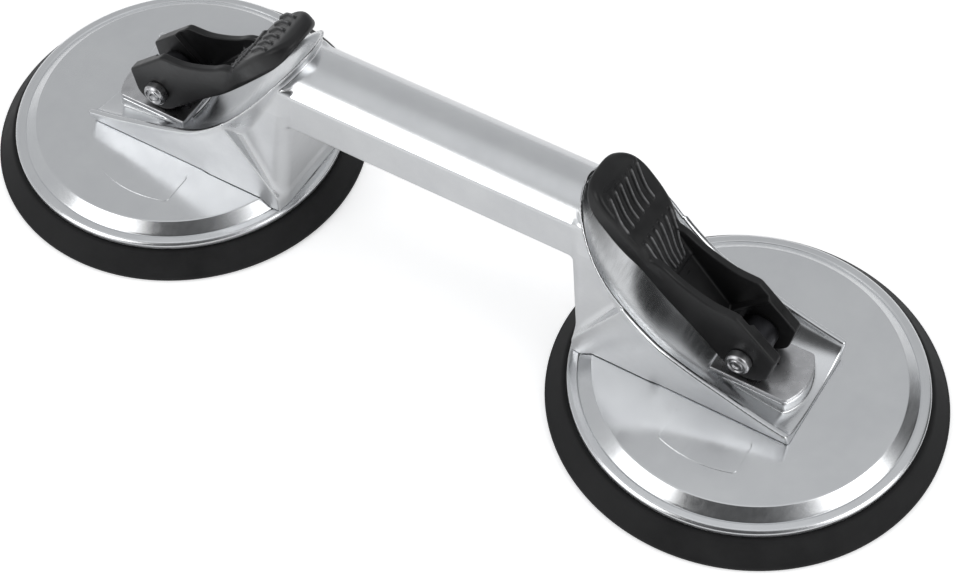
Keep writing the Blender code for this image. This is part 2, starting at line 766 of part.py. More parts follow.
def main():
    clear_scene()
    aluminium = material("polished_aluminium", (0.80, 0.81, 0.82), 0.18, 1.0)
    rubber = material("black_rubber", (0.022, 0.022, 0.022), 0.65, 0.0)
    plastic = material("black_plastic", (0.018, 0.018, 0.019), 0.38, 0.0)
    steel = material("plated_steel", (0.62, 0.62, 0.63), 0.30, 1.0)
    black_steel = material("black_steel", (0.05, 0.05, 0.055), 0.40, 1.0)
    spring_steel = material("spring_steel", (0.35, 0.35, 0.37), 0.35, 1.0)
    bronze = material("bush_bronze", (0.55, 0.36, 0.16), 0.35, 1.0)

    place("handle_casting", finished(handle_mesh(), aluminium))
    fixed = {
        "cup_cover": finished(cover_mesh(), aluminium),
        "suction_pad": finished(pad_mesh(), rubber),
        "wear_plate": finished(wear_plate_mesh(), steel),
        "guide_bush": finished(guide_bush_mesh(), bronze),
        "return_spring": finished(return_spring_mesh(), spring_steel),
    }
    sliding = {
        "pad_hub": finished(pad_hub_mesh(), rubber),
        "pad_insert": finished(pad_insert_mesh(), steel),
        "spring_seat": finished(spring_seat_mesh(), steel),
        "draw_stud": finished(draw_stud_mesh(), black_steel),
    }
    screw = finished(cover_screw_mesh(), steel)
    pin = finished(pivot_pin_mesh(), steel)
    clip = finished(pin_clip_mesh(), steel)
    lever = finished(lever_mesh(), plastic)
    pivot = (0, 0, PIN_HEIGHT)
    for label, side in (("right", 1), ("left", -1)):
        turn = 0 if side > 0 else math.pi
        cup = marker("cup_middle_" + label, (side * CUP_SPACING / 2, 0, 0), turn)
        draw = marker("draw_axis_" + label, (side * CUP_SPACING / 2, 0, 0), turn)
        for name, mesh in fixed.items():
            place(f"{name}_{label}", mesh, cup)
        for name, mesh in sliding.items():
            place(f"{name}_{label}", mesh, draw)
        for number, (x, y) in enumerate(screw_places(), 1):
            place(f"cover_screw_{label}_{number}", screw, cup, (x, y, 0))
        place("pivot_pin_" + label, pin, draw, pivot, turn)
        place("pin_clip_" + label, clip, draw, pivot, turn)
        place("lever_" + label, lever, draw, pivot)


main()
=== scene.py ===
"""The looks of a twin-cup hand vacuum lifter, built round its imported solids.

The castings and the lever are smooth surfaces meshed from distance fields, the round pieces are turned
from rounded profiles, and every finish is made of nodes. Shapes are drawn in millimetres. Each end is
drawn once, X running outwards from the middle of its cup, and the left end is that one turned half round.
"""

import itertools
import json
import math

import bpy
import numpy as np
from mathutils import Matrix, Vector


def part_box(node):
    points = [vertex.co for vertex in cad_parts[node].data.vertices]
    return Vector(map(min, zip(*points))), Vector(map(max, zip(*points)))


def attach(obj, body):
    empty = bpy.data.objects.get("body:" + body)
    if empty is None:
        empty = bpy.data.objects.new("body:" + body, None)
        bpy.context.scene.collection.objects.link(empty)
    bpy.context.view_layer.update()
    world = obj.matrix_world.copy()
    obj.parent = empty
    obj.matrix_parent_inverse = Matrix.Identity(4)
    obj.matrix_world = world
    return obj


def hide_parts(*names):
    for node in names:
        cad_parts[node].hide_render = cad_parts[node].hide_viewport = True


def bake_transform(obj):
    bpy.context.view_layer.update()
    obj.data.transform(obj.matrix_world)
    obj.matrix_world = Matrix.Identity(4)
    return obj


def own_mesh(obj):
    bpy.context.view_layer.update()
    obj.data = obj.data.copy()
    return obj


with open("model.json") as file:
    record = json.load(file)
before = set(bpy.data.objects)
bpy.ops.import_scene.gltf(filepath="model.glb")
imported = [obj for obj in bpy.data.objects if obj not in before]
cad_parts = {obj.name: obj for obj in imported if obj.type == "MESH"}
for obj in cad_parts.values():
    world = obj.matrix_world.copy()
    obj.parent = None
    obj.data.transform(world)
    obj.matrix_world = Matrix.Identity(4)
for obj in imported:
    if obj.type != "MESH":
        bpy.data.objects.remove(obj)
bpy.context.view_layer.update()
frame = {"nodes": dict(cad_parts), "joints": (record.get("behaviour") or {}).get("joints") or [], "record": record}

MM = 0.001
SIDES = {"right": 1, "left": -1}
JOINTS = {joint["name"]: joint for joint in frame["joints"]}


def cad_span(node):
    """A CAD node's lowest and highest corners in millimetres."""
    low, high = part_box(node)
    return np.array(low) / MM, np.array(high) / MM


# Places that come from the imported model
pad_low, pad_high = cad_span("suction_pad_right")
cover_low, cover_high = cad_span("cup_cover_right")
handle_low, handle_high = cad_span("handle_casting")
plate_low, plate_high = cad_span("wear_plate_right")
spring_low, spring_high = cad_span("return_spring_right")
stud_low, stud_high = cad_span("draw_stud_right")
CUP_X = (pad_low[0] + pad_high[0]) / 2
PAD_RADIUS = (pad_high[1] - pad_low[1]) / 2
PAD_TOP = pad_high[2]
COVER_RADIUS = (cover_high[1] - cover_low[1]) / 2
COVER_TOP = cover_high[2]
PIN_HEIGHT = JOINTS["lever_hinge_right"]["pos_m"][2] / MM
LEVER_SWING = math.radians(JOINTS["lever_hinge_right"]["range_deg"][1])
DRAW_LIFT = JOINTS["draw_slide_right"]["range_m"][1] / MM
PLATE_TOP = plate_high[2]
CLEAR = 0.3
BOSS_TOP = plate_low[2] - CLEAR

# Handle: the bar
BAR_LOW = 47
BAR_EDGE = 60
BAR_CROWN = 65.5
BAR_HALF_LOW = 13
BAR_HALF_HIGH = 12
BAR_WALL = 3.2
BAR_EDGE_ROUND = 0.5
BAR_LOW_ROUND = 1.6
BAY_PITCH = 22.75
BAYS_EACH_WAY = 2
BAY_RIB = 1.25
BAY_ROOF_ROUND = 2
BAY_CORNER_ROUND = 1.5
BAY_MOUTH_ROUND = 0.8

# Handle: the columns and the foot that carries the recess
COLUMN_HEIGHTS = (8, 14, 52, 60)
COLUMN_ENDS = (-49.8, -50.5, -54.4, -55.0)
COLUMN_HALVES = (17.5, 17.0, 14.0, 12.4)
COLUMN_CORNER = 4.5
COLUMN_OUTER = -20
COLUMN_TOP = 62
COLUMN_TOP_ROUND = 2
FOOT_INNER = -50
FOOT_END = 21
FOOT_HALF = 17.8
FOOT_ROUND = 0.7
CREASE_LOW = 16
CREASE_RISE = 26
CREASE_RUN = 16
CREASE_ROUND = 0.5

# Handle: the lip round the recess and the recess itself
RIM_CENTRE = -36
RIM_INNER = 18
RIM_OUTER = 20
RIM_LEAN = 0.35
RIM_UNDERCUT = 0.5
RIM_SCALE = 0.9  # keeps the leaning lip's field near a true distance
RIM_ROUND = 1.2
RIM_LINE = (  # distance outwards, height
    (-55.5, 70.6), (-50, 63.9), (-44, 56.3), (-38, 49.2), (-30, 40.5),
    (-22, 34.0), (-12, 29.3), (0, 25.2), (12, 21.4), (22, 18.8),
)
BOWL_LINE = (  # distance outwards, height
    (-54, 68.6), (-50, 58.5), (-44, 47.5), (-36, 36.5), (-26, 27.0),
    (-14, 20.2), (0, 16.6), (12, 15.0), (30, 14.2),
)
BOWL_LEAST = 1.5
BOSS_HALF = 9.8
BOSS_INNER = -9
BOSS_CORNER = 15.5
BOSS_END = 18.5
BOSS_CORNER_ROUND = 0.8
BOSS_TOP_ROUND = 0.5
POCKET_RADIUS = 9.8
POCKET_TOP = 16.2
BUSH_HOLE = 6.6
SCREW_HOLE = 1.9
SCREW_HOLE_TOP = 21.8
SCREW_X = (-39, -16)
SCREW_Y = 13.6
HOLLOW_HALF = 10
HOLLOW_OUTER = -18
HOLLOW_ROOF = 4.2
HOLLOW_SCALE = 0.6  # keeps the sloping roof's field near a true distance
HOLLOW_TOP = 48
HOLLOW_ROUND = 2

# Handle: widths of the fillets where its shapes meet
FOOT_FILLET = 2.6
BAR_FILLET = 1.2
LIP_FILLET = 1.0
BOWL_FILLET = 1.0
BOSS_FILLET = 1.0
UNDERSIDE_FILLET = 0.25

# Cover and its blank panel
LEDGE_RADIUS = 50.3
LEDGE_TOP = 10.4
PLATEAU_RADIUS = 46.5
SHOULDER_EASE = 0.6
COVER_WALL = 3
COVER_BORE = 11
COVER_BEAD = 0.35
TONGUE_INNER = 50
TONGUE_OUTER = 51.8
TONGUE_LOW = 5
PANEL_NEAR = 22.4
PANEL_RADIUS = 36
PANEL_HALF = 12.5
PANEL_CORNER_ROUND = 1.2
PANEL_RISE = 0.22
PANEL_EDGE_ROUND = 0.12
PANEL_SHIFT = {"right": 0, "left": 6}

# Pad and the pieces of the draw gear
SEAL_LIPS = (57.4, 54.6, 51.8)
SEAL_LIP_HALF = 0.45
SEAL_LIP_GROOVE = 0.55
MEMBRANE_LOW = 1
MEMBRANE_TOP = 4
MEMBRANE_OUTER = 44
MEMBRANE_WAVE = 0.35
MEMBRANE_RINGS = 25
MEMBRANE_RAYS = 13
MEMBRANE_WEDGES = 16
HUB_RADIUS = 24
HUB_FLOOR = 1.5
HUB_BUTTON = 0.4
INSERT_RADIUS = 17.8
PLATE_PLAY = 0.4
PLATE_ROUND = 0.5
PLATE_HOLE_ROUND = 0.4
STUD_RADIUS = 4
STUD_END_ROUND = 0.6
EYE_RADIUS = 6
EYE_HALF = 4.2
EYE_ROUND = 0.8
EYE_FILLET = 0.6
EYE_HOLE_ROUND = 0.4
LUG_HALF = 5
LUG_LIFT = 0.6
SPRING_TURNS = 3.5
SPRING_WIRE = 0.55
SPRING_STEPS = 48
PIN_RADIUS = 3
PIN_HEAD_RADIUS = 3.8
PIN_HEAD = 11.8
PIN_TAIL = 10.9
CLIP_RADIUS = 5.2
CLIP_THICK = 1

# Lever: s runs from the pin towards the thumb tip, t is square to it, towards the open face
CHEEK_OUTER = 8.5
CHEEK_INNER = 5.9
PAD_INNER = 4.6
PAD_END = 8.5
PAD_STEP = 0.5
CHEEK_ROUND = 0.9
CAM_GAP = 0.35
CAM_TURN = 1.75 * math.pi  # puts the heel's lowest place at rest a quarter turn below zero
HEEL = ((-9.8, 2.8), (-4.6, 10.4), (13.3, 9.6))  # s, t
HEEL_LEAST = 7.7
HEEL_FADE = 1
HEEL_ROUND = 0.7
WELL_INSIDE = -5
CHEEK_TOP = (  # s, t
    (8, 13.8), (13.3, 9.9), (19, 4.9), (25, 1.7),
    (31.3, -0.6), (36.6, -1.9), (39.5, -3.6), (43, -5.6),
)
CHEEK_LOW = (  # s, t
    (0, -7.7), (7, -8.1), (15, -8.6), (30, -9.7), (43, -9.0),
)
CHEEK_TOP_SCALE = 0.85  # keeps the slanting crest's field near a true distance
CHEEK_END_ROUND = 0.6
CHANNEL_START = 7.3
CHANNEL_END = 41
CHANNEL_FLOOR = ((0, -6.8), (33, -5.0), (41, -3.7))
CHANNEL_FLOOR_ROUND = 1.0
CHANNEL_END_ROUND = 0.8
CHANNEL_JOIN = 0.3
CHANNEL_EDGE_ROUND = 0.5
PIN_HOLE_ROUND = 0.3
TAB_START = 29.5
TAB_HALF = ((31, 7.8), (40, 9.5), (44.5, 10.3), (50, 10.9), (56, 11.0), (70, 11.0))
TAB_FACE = ((31, -5.2), (40, -4.0), (44.5, -2.7), (50, -2.0), (61.5, -1.9), (65.5, -2.5), (70, -4.6))
TAB_BACK = ((31, -9.3), (40, -9.2), (50, -8.5), (61.5, -7.7), (65.5, -7.2), (70, -6.0))
TAB_DISH = 0.5
TAB_FACE_SCALE = 0.8
TAB_FACE_ROUND = 1.6
TAB_BACK_ROUND = 1.8
TAB_FILLET = 0.8
TIP_START = 57
TIP_LENGTH = 12.2
TIP_POWER = 2.6
RIB_COUNT = 6
RIB_HALF = 0.75
RIB_HEIGHT = 1.1
RIB_FADE = 1.2
CREST_DEPTH = 0.3
RIB_GROUPS = (  # per group: line of the ribs' middle and of their pitch along s, and where they start and end
    (((30.5, -1.3), (35, -1.1), (40, 0.1), (46, 0.3)), ((30.5, 1.7), (36, 2.3), (45, 2.95)), 30.8, 45),
    (((49, -2.3), (56, -2.0), (59.5, -0.6), (63, 1.2)), ((49, 3.05), (63, 3.05)), 51, 62.3),
)

# How finely everything is meshed
HANDLE_STEP = 0.48
LEVER_STEP = 0.32
SMALL_STEP = 0.28
SLABS = 12
SETTLING_ROUNDS = 3
LEAST_STEEPNESS = 0.05
PROBE = 0.02
TINY = 1e-9
TINY_PULL = 1e-6
FINE = 192
FINE_SMALL = 96
ROUND_STEPS = 6
SHARP_ANGLE = 50
EVEN_WEIGHT = 80


# ---------- surfaces from distance fields ----------

def smooth_min(a, b, blend):
    """The union of two fields, with a fillet of about the blend's width."""
    share = np.clip(0.5 + 0.5 * (b - a) / blend, 0, 1)
    return b + (a - b) * share - blend * share * (1 - share)


def smooth_max(a, b, blend):
    """The part that two fields share, its edge rounded over about the blend's width."""
    return -smooth_min(-a, -b, blend)


def smooth_line(line, x):
    """Heights at x on the smooth line through (x, height) points, level beyond its ends."""
    xs, heights = np.array(line, float).T
    slopes = np.gradient(heights, xs)
    i = np.clip(np.searchsorted(xs, x) - 1, 0, len(xs) - 2)
    width = xs[i + 1] - xs[i]
    t = np.clip((x - xs[i]) / width, 0, 1)
    return ((2 * t**3 - 3 * t**2 + 1) * heights[i] + (t**3 - 2 * t**2 + t) * width * slopes[i]
            + (3 * t**2 - 2 * t**3) * heights[i + 1] + (t**3 - t**2) * width * slopes[i + 1])


def gradient(distance, points):
    """The slope of a distance field at each point, by central differences."""
    parts = []
    for axis in range(3):
        shift = np.zeros(3)
        shift[axis] = PROBE
        parts.append((distance(points + shift) - distance(points - shift)) / (2 * PROBE))
    return np.stack(parts, -1)


def net_points(values, cells):
    """The mean of the places where the field changes sign on each cell's edges, in cell units."""
    total = np.zeros((len(cells), 3))
    hits = np.zeros(len(cells))
    for corner in itertools.product((0, 1), repeat=3):
        for axis in range(3):
            if corner[axis]:
                continue
            step = np.eye(3, dtype=int)[axis]
            first = values[tuple((cells + corner).T)]
            second = values[tuple((cells + corner + step).T)]
            crossing = (first < 0) != (second < 0)
            share = np.where(crossing, first / np.where(crossing, first - second, 1), 0)
            place = np.array(corner) + share[:, None] * step
            total += np.where(crossing[:, None], place, 0)
            hits += crossing
    return cells + total / hits[:, None]


def net_faces(inside, index):
    """A quad round each grid edge that passes through the surface, facing out."""
    faces = []
    for axis in range(3):
        step = np.eye(3, dtype=int)[axis]
        aside = np.eye(3, dtype=int)[(axis + 1) % 3]
        along = np.eye(3, dtype=int)[(axis + 2) % 3]
        low = inside[tuple(slice(0, -1) if k == axis else slice(1, -1) for k in range(3))]
        high = inside[tuple(slice(1, None) if k == axis else slice(1, -1) for k in range(3))]
        edges = np.argwhere(low != high)
        outward = low[tuple(edges.T)]
        edges = edges + 1 - step
        corners = [edges - aside - along, edges - along, edges, edges - aside]
        quads = np.stack([index[tuple(corner.T)] for corner in corners], -1)
        quads[~outward] = quads[~outward][:, ::-1]
        faces.append(quads)
    return np.concatenate(faces)


def crossed_cells(inside):
    """Which cells of a grid have corners on both sides of the surface."""
    shape = [n - 1 for n in inside.shape]
    count = sum(inside[a:a + shape[0], b:b + shape[1], c:c + shape[2]].astype(int)
                for a, b, c in itertools.product((0, 1), repeat=3))
    return (count > 0) & (count < 8)


def settle(distance, points, step):
    """Moves points onto the surface, by at most half a step in each round."""
    for _ in range(SETTLING_ROUNDS):
        slope = gradient(distance, points)
        steepness = np.maximum((slope**2).sum(-1), LEAST_STEEPNESS)
        move = -(distance(points) / steepness)[:, None] * slope
        points += np.clip(move, -step / 2, step / 2)
    return points


def field_mesh(name, distance, low, high, step, place=Matrix.Identity(4)):
    """A mesh of the surface where distance(points) is zero, its points and normals on the true surface."""
    axes = [np.arange(start, end + step, step) for start, end in zip(low, high)]
    grid = np.stack(np.meshgrid(*axes, indexing="ij"), -1)
    values = np.concatenate([distance(slab) for slab in np.array_split(grid, SLABS)])
    inside = values < 0
    active = crossed_cells(inside)
    cells = np.argwhere(active)
    index = np.full(active.shape, -1)
    index[active] = np.arange(len(cells))
    points = settle(distance, np.array(low) + net_points(values, cells) * step, step)
    normals = gradient(distance, points)
    normals /= np.linalg.norm(normals, axis=-1, keepdims=True) + TINY
    faces = net_faces(inside, index)
    if place.determinant() < 0:
        faces = faces[:, ::-1]
    mesh = bpy.data.meshes.new(name)
    mesh.from_pydata(points.tolist(), [], faces.tolist())
    mesh.transform(place)
    turned = normals @ np.array(place.to_3x3()).T
    mesh.shade_smooth()
    mesh.normals_split_custom_set_from_vertices(turned.tolist())
    return mesh


# ---------- turned and swept pieces ----------

def rounded(profile):
    """A closed outline of (radius, height, rounding) corners as points, each corner an arc."""
    points = []
    corners = np.array(profile, float)
    for i, (r, z, rounding) in enumerate(corners):
        here = np.array((r, z))
        if rounding == 0:
            points.append(here)
            continue
        before = corners[i - 1][:2] - here
        after = corners[(i + 1) % len(corners)][:2] - here
        cut = min(rounding, 0.45 * np.linalg.norm(before), 0.45 * np.linalg.norm(after))
        start = here + before / np.linalg.norm(before) * cut
        end = here + after / np.linalg.norm(after) * cut
        for t in np.linspace(0, 1, ROUND_STEPS):
            points.append((1 - t) ** 2 * start + 2 * t * (1 - t) * here + t**2 * end)
    return points


def revolve(name, profile, sides=FINE):
    """A closed body turned about Z from (radius, height, rounding) corners."""
    verts, rows = [], []
    for r, z in rounded(profile):
        angles = np.arange(sides) * 2 * np.pi / sides if r > 0 else [0]
        rows.append(list(range(len(verts), len(verts) + len(angles))))
        verts += [(r * math.cos(a), r * math.sin(a), z) for a in angles]
    faces = []
    for low, high in zip(rows, rows[1:] + rows[:1]):
        if len(low) == 1 and len(high) == 1:
            continue
        for k in range(sides):
            ring = [low[k % len(low)], low[(k + 1) % len(low)],
                    high[(k + 1) % len(high)], high[k % len(high)]]
            faces.append(list(dict.fromkeys(ring)))
    mesh = bpy.data.meshes.new(name)
    mesh.from_pydata(verts, [], faces)
    return outward(mesh)


def outward(mesh):
    """Turns a closed mesh's faces outwards and shades it smooth."""
    verts = np.array([v.co for v in mesh.vertices])
    volume = 0
    for face in mesh.polygons:
        first = verts[face.vertices[0]]
        for a, b in zip(face.vertices[1:], face.vertices[2:]):
            volume += np.dot(first, np.cross(verts[a], verts[b]))
    if volume < 0:
        mesh.flip_normals()
    mesh.shade_smooth()
    mesh.set_sharp_from_angle(angle=math.radians(SHARP_ANGLE))
    return mesh


def swept(name, path, radius, sides=14):
    """A round wire along a path of points, with flat ends."""
    path = np.array(path)
    forward = np.gradient(path, axis=0)
    forward /= np.linalg.norm(forward, axis=1, keepdims=True)
    aside = np.cross(forward, (0, 0, 1.0))
    aside /= np.linalg.norm(aside, axis=1, keepdims=True)
    up = np.cross(aside, forward)
    turns = np.arange(sides) * 2 * np.pi / sides
    rings = (path[:, None] + radius * (np.cos(turns)[None, :, None] * aside[:, None]
                                       + np.sin(turns)[None, :, None] * up[:, None]))
    faces = [(i * sides + k, i * sides + (k + 1) % sides, (i + 1) * sides + (k + 1) % sides,
              (i + 1) * sides + k) for i in range(len(path) - 1) for k in range(sides)]
    faces.append(tuple(range(sides)))
    faces.append(tuple(range((len(path) - 1) * sides, len(path) * sides)))
    mesh = bpy.data.meshes.new(name)
    mesh.from_pydata(rings.reshape(-1, 3).tolist(), [], faces)
    return outward(mesh)


# ---------- handle ----------

def cover_height(radius):
    """The top of the cup cover at a distance from the cup's middle."""
    return np.interp(radius, (PLATEAU_RADIUS, LEDGE_RADIUS), (COVER_TOP, LEDGE_TOP))


def bar_field(reach, y, z):
    """The grip bar, pocketed from below between stiffening ribs."""
    half = np.interp(z, (BAR_LOW, BAR_EDGE), (BAR_HALF_LOW, BAR_HALF_HIGH))
    rise = BAR_CROWN - BAR_EDGE
    radius = (BAR_HALF_HIGH**2 + rise**2) / (2 * rise)
    crown = np.hypot(y, z - BAR_CROWN + radius) - radius
    side = y - half
    solid = smooth_max(smooth_max(side, crown, BAR_EDGE_ROUND), BAR_LOW - z, BAR_LOW_ROUND)
    to_rib = BAY_PITCH / 2 - np.abs(reach % BAY_PITCH - BAY_PITCH / 2)
    roof = smooth_max(side, crown, BAY_ROOF_ROUND) + BAR_WALL
    pocket = smooth_max(roof, BAY_RIB - to_rib, BAY_CORNER_ROUND)
    pocket = smooth_max(pocket, reach - BAYS_EACH_WAY * BAY_PITCH, BAY_CORNER_ROUND)
    return smooth_max(solid, -pocket, BAY_MOUTH_ROUND)


def column_field(x, y, z):
    """The tapered column between foot and bar, its plan a rectangle with round corners."""
    end = np.interp(z, COLUMN_HEIGHTS, COLUMN_ENDS)
    half = np.interp(z, COLUMN_HEIGHTS, COLUMN_HALVES)
    middle = (end + COLUMN_OUTER) / 2
    past_end = np.abs(x - middle) - (COLUMN_OUTER - end) / 2 + COLUMN_CORNER
    past_side = y - half + COLUMN_CORNER
    plan = (np.hypot(np.maximum(past_end, 0), np.maximum(past_side, 0))
            + np.minimum(np.maximum(past_end, past_side), 0) - COLUMN_CORNER)
    return smooth_max(plan, z - COLUMN_TOP, COLUMN_TOP_ROUND)


def foot_field(x, y, z, rim, below_rim):
    """The foot under the rim, its side walls folded along a slanting crease."""
    base = COVER_TOP + CLEAR
    reach = np.minimum(RIM_OUTER, FOOT_HALF + RIM_LEAN * (rim - base))
    share = np.clip((z - base) / (rim - base), 0, 1)
    wall = y - FOOT_HALF - (reach - FOOT_HALF) * share
    slope = math.hypot(CREASE_RISE, CREASE_RUN)
    crease = ((z - CREASE_LOW) * CREASE_RUN - (x - FOOT_INNER) * CREASE_RISE) / slope
    solid = smooth_max(smooth_max(wall, below_rim, FOOT_ROUND), crease, CREASE_ROUND)
    return smooth_max(smooth_max(solid, x - FOOT_END, FOOT_ROUND), FOOT_INNER - x, FOOT_ROUND)


def bowl_field(rho, rim, floor, z):
    """The oval trough under the rim and everything above it."""
    depth = np.maximum(rim - floor, BOWL_LEAST)
    below = np.maximum(rim - z, 0)
    near = np.hypot(rho / RIM_INNER, below / depth)
    pull = np.hypot(rho / RIM_INNER**2, below / depth**2) + TINY_PULL
    return near * (near - 1) / pull


def boss_plan(x, y):
    """The cam seat's plan: straight sides and a bowed outer end."""
    bow = BOSS_END - BOSS_CORNER
    radius = (BOSS_HALF**2 + bow**2) / (2 * bow)
    end = np.hypot(x - BOSS_END + radius, y) - radius
    plan = smooth_max(y - BOSS_HALF, end, BOSS_CORNER_ROUND)
    return smooth_max(plan, BOSS_INNER - x, BOSS_CORNER_ROUND)


def hollow_field(x, y, z, floor, radius):
    """What is cast or drilled out of the foot from below."""
    walls = np.array(COLUMN_ENDS[1:3]) + BAR_WALL
    inner = np.interp(z, (COLUMN_HEIGHTS[1], HOLLOW_TOP), walls)
    roof = np.maximum((z - floor + HOLLOW_ROOF) * HOLLOW_SCALE, z - HOLLOW_TOP)
    sides = smooth_max(y - HOLLOW_HALF, inner - x, HOLLOW_ROUND)
    ends = smooth_max(roof, x - HOLLOW_OUTER, HOLLOW_ROUND)
    hollow = smooth_max(sides, ends, HOLLOW_ROUND)
    hollow = np.minimum(hollow, np.maximum(radius - POCKET_RADIUS, z - POCKET_TOP))
    hollow = np.minimum(hollow, radius - BUSH_HOLE)
    for screw_x in SCREW_X:
        screw = np.hypot(x - screw_x, y - SCREW_Y) - SCREW_HOLE
        hollow = np.minimum(hollow, np.maximum(screw, z - SCREW_HOLE_TOP))
    return hollow


def handle_field(points):
    """The whole casting: bar, columns, feet and lips, less the bowls and what is cut from below."""
    reach = np.abs(points[..., 0])
    x = reach - CUP_X
    y = np.abs(points[..., 1])
    z = points[..., 2]
    rim = smooth_line(RIM_LINE, x)
    slope = smooth_line(RIM_LINE, x + 0.5) - smooth_line(RIM_LINE, x - 0.5)
    below_rim = (z - rim) / np.sqrt(1 + slope**2)
    rho = np.where(x < RIM_CENTRE, np.hypot(x - RIM_CENTRE, y), y)
    floor = smooth_line(BOWL_LINE, x)
    radius = np.hypot(x, y)
    lip = (rho - RIM_OUTER + (rim - z) * RIM_UNDERCUT) * RIM_SCALE
    lip = smooth_max(smooth_max(lip, below_rim, RIM_ROUND), x - FOOT_END, FOOT_ROUND)
    column = smooth_min(column_field(x, y, z), foot_field(x, y, z, rim, below_rim), FOOT_FILLET)
    body = smooth_min(bar_field(reach, y, z), column, BAR_FILLET)
    body = smooth_min(body, lip, LIP_FILLET)
    body = smooth_max(body, -bowl_field(rho, rim, floor, z), BOWL_FILLET)
    boss = smooth_max(boss_plan(x, y), z - BOSS_TOP, BOSS_TOP_ROUND)
    body = smooth_min(body, boss, BOSS_FILLET)
    body = smooth_max(body, cover_height(radius) + CLEAR - z, UNDERSIDE_FILLET)
    return smooth_max(body, -hollow_field(x, y, z, floor, radius), UNDERSIDE_FILLET)


def handle_mesh():
    margin = 1.5
    low = (handle_low[0] - margin, handle_low[1] - margin, handle_low[2] - margin)
    high = handle_high + margin
    return field_mesh("cast_handle", handle_field, low, high, HANDLE_STEP)


# ---------- cover, pad and draw gear ----------

def cover_mesh():
    """The pressed cover: flat top, sloping shoulder, a fine groove and a rolled ledge."""
    ceiling = COVER_TOP - COVER_WALL
    profile = [
        (COVER_BORE, COVER_TOP, 0.4), (PLATEAU_RADIUS - SHOULDER_EASE, COVER_TOP, 0),
        (PLATEAU_RADIUS - 0.1, COVER_TOP - 0.02, 1.2), (LEDGE_RADIUS - 0.5, LEDGE_TOP + 0.1, 0.6),
        (LEDGE_RADIUS - 0.1, LEDGE_TOP - 0.25, 0.15), (LEDGE_RADIUS + 0.3, LEDGE_TOP, 0.2),
        (COVER_RADIUS - 0.9, LEDGE_TOP - 0.12, 0.4), (COVER_RADIUS, LEDGE_TOP - 0.75, COVER_BEAD),
        (COVER_RADIUS, PAD_TOP + CLEAR, COVER_BEAD), (TONGUE_OUTER, PAD_TOP + CLEAR, 0.1),
        (TONGUE_OUTER, TONGUE_LOW, 0.3), (TONGUE_INNER, TONGUE_LOW, 0.3),
        (TONGUE_INNER, PAD_TOP + CLEAR, 0.2), (TONGUE_INNER - 1.8, PAD_TOP + 0.6, 0.5),
        (PLATEAU_RADIUS, ceiling, 1), (COVER_BORE, ceiling, 0.3),
    ]
    return revolve("cup_cover", profile)


def panel_field(points):
    """A thin blank panel on the cover: straight towards the handle, bowed towards the cup's edge."""
    x, y, z = points[..., 0], -points[..., 1], points[..., 2]
    plan = smooth_max(PANEL_NEAR - y, np.hypot(x, y) - PANEL_RADIUS, PANEL_CORNER_ROUND)
    plan = smooth_max(plan, np.abs(x) - PANEL_HALF, PANEL_CORNER_ROUND)
    return smooth_max(plan, np.abs(z - COVER_TOP) - PANEL_RISE, PANEL_EDGE_ROUND)


def panel_mesh():
    low = (-PANEL_HALF - 1.5, -PANEL_RADIUS - 2, COVER_TOP - 1)
    high = (PANEL_HALF + 1.5, -20, COVER_TOP + 1)
    return field_mesh("panel", panel_field, low, high, SMALL_STEP)


def pad_rim_mesh():
    """The pad's outer ring: sealing lip, skirt and the groove that the cover's tongue sits in."""
    groove = TONGUE_LOW - CLEAR
    lips = []
    for r in SEAL_LIPS:
        lips += [(r + SEAL_LIP_HALF, 0, 0.15), (r, SEAL_LIP_GROOVE, 0.3), (r - SEAL_LIP_HALF, 0, 0.15)]
    profile = [
        (MEMBRANE_OUTER, MEMBRANE_LOW, 0), (MEMBRANE_OUTER, MEMBRANE_TOP, 0),
        (TONGUE_INNER - 4.6, MEMBRANE_TOP, 1), (TONGUE_INNER - 3.2, MEMBRANE_TOP + 1.5, 1),
        (TONGUE_INNER - 3.2, PAD_TOP, 0.4), (TONGUE_INNER - CLEAR, PAD_TOP, 0.3),
        (TONGUE_INNER - CLEAR, groove, 0.3), (TONGUE_OUTER + CLEAR, groove, 0.3),
        (TONGUE_OUTER + CLEAR, PAD_TOP, 0.2), (PAD_RADIUS - 5.4, PAD_TOP, 0.5),
        (PAD_RADIUS - 4.8, PAD_TOP - 0.5, 0.4), (PAD_RADIUS - 0.9, 2.4, 0.5),
        (PAD_RADIUS, 1.5, 0.5), (PAD_RADIUS, 0.5, 0.4), (PAD_RADIUS - 0.6, 0, 0.4),
        *lips, (TONGUE_INNER - 0.2, 0, 0.3), (TONGUE_INNER - 1.2, MEMBRANE_LOW, 0.5),
    ]
    return revolve("rubber_rim", profile[::-1])


def membrane_height(radius):
    """The underside of the membrane, with two shallow convolutions that let it flex."""
    share = (radius - HUB_RADIUS) / (MEMBRANE_OUTER - HUB_RADIUS)
    return MEMBRANE_LOW + MEMBRANE_WAVE * np.sin(2 * np.pi * share) ** 2


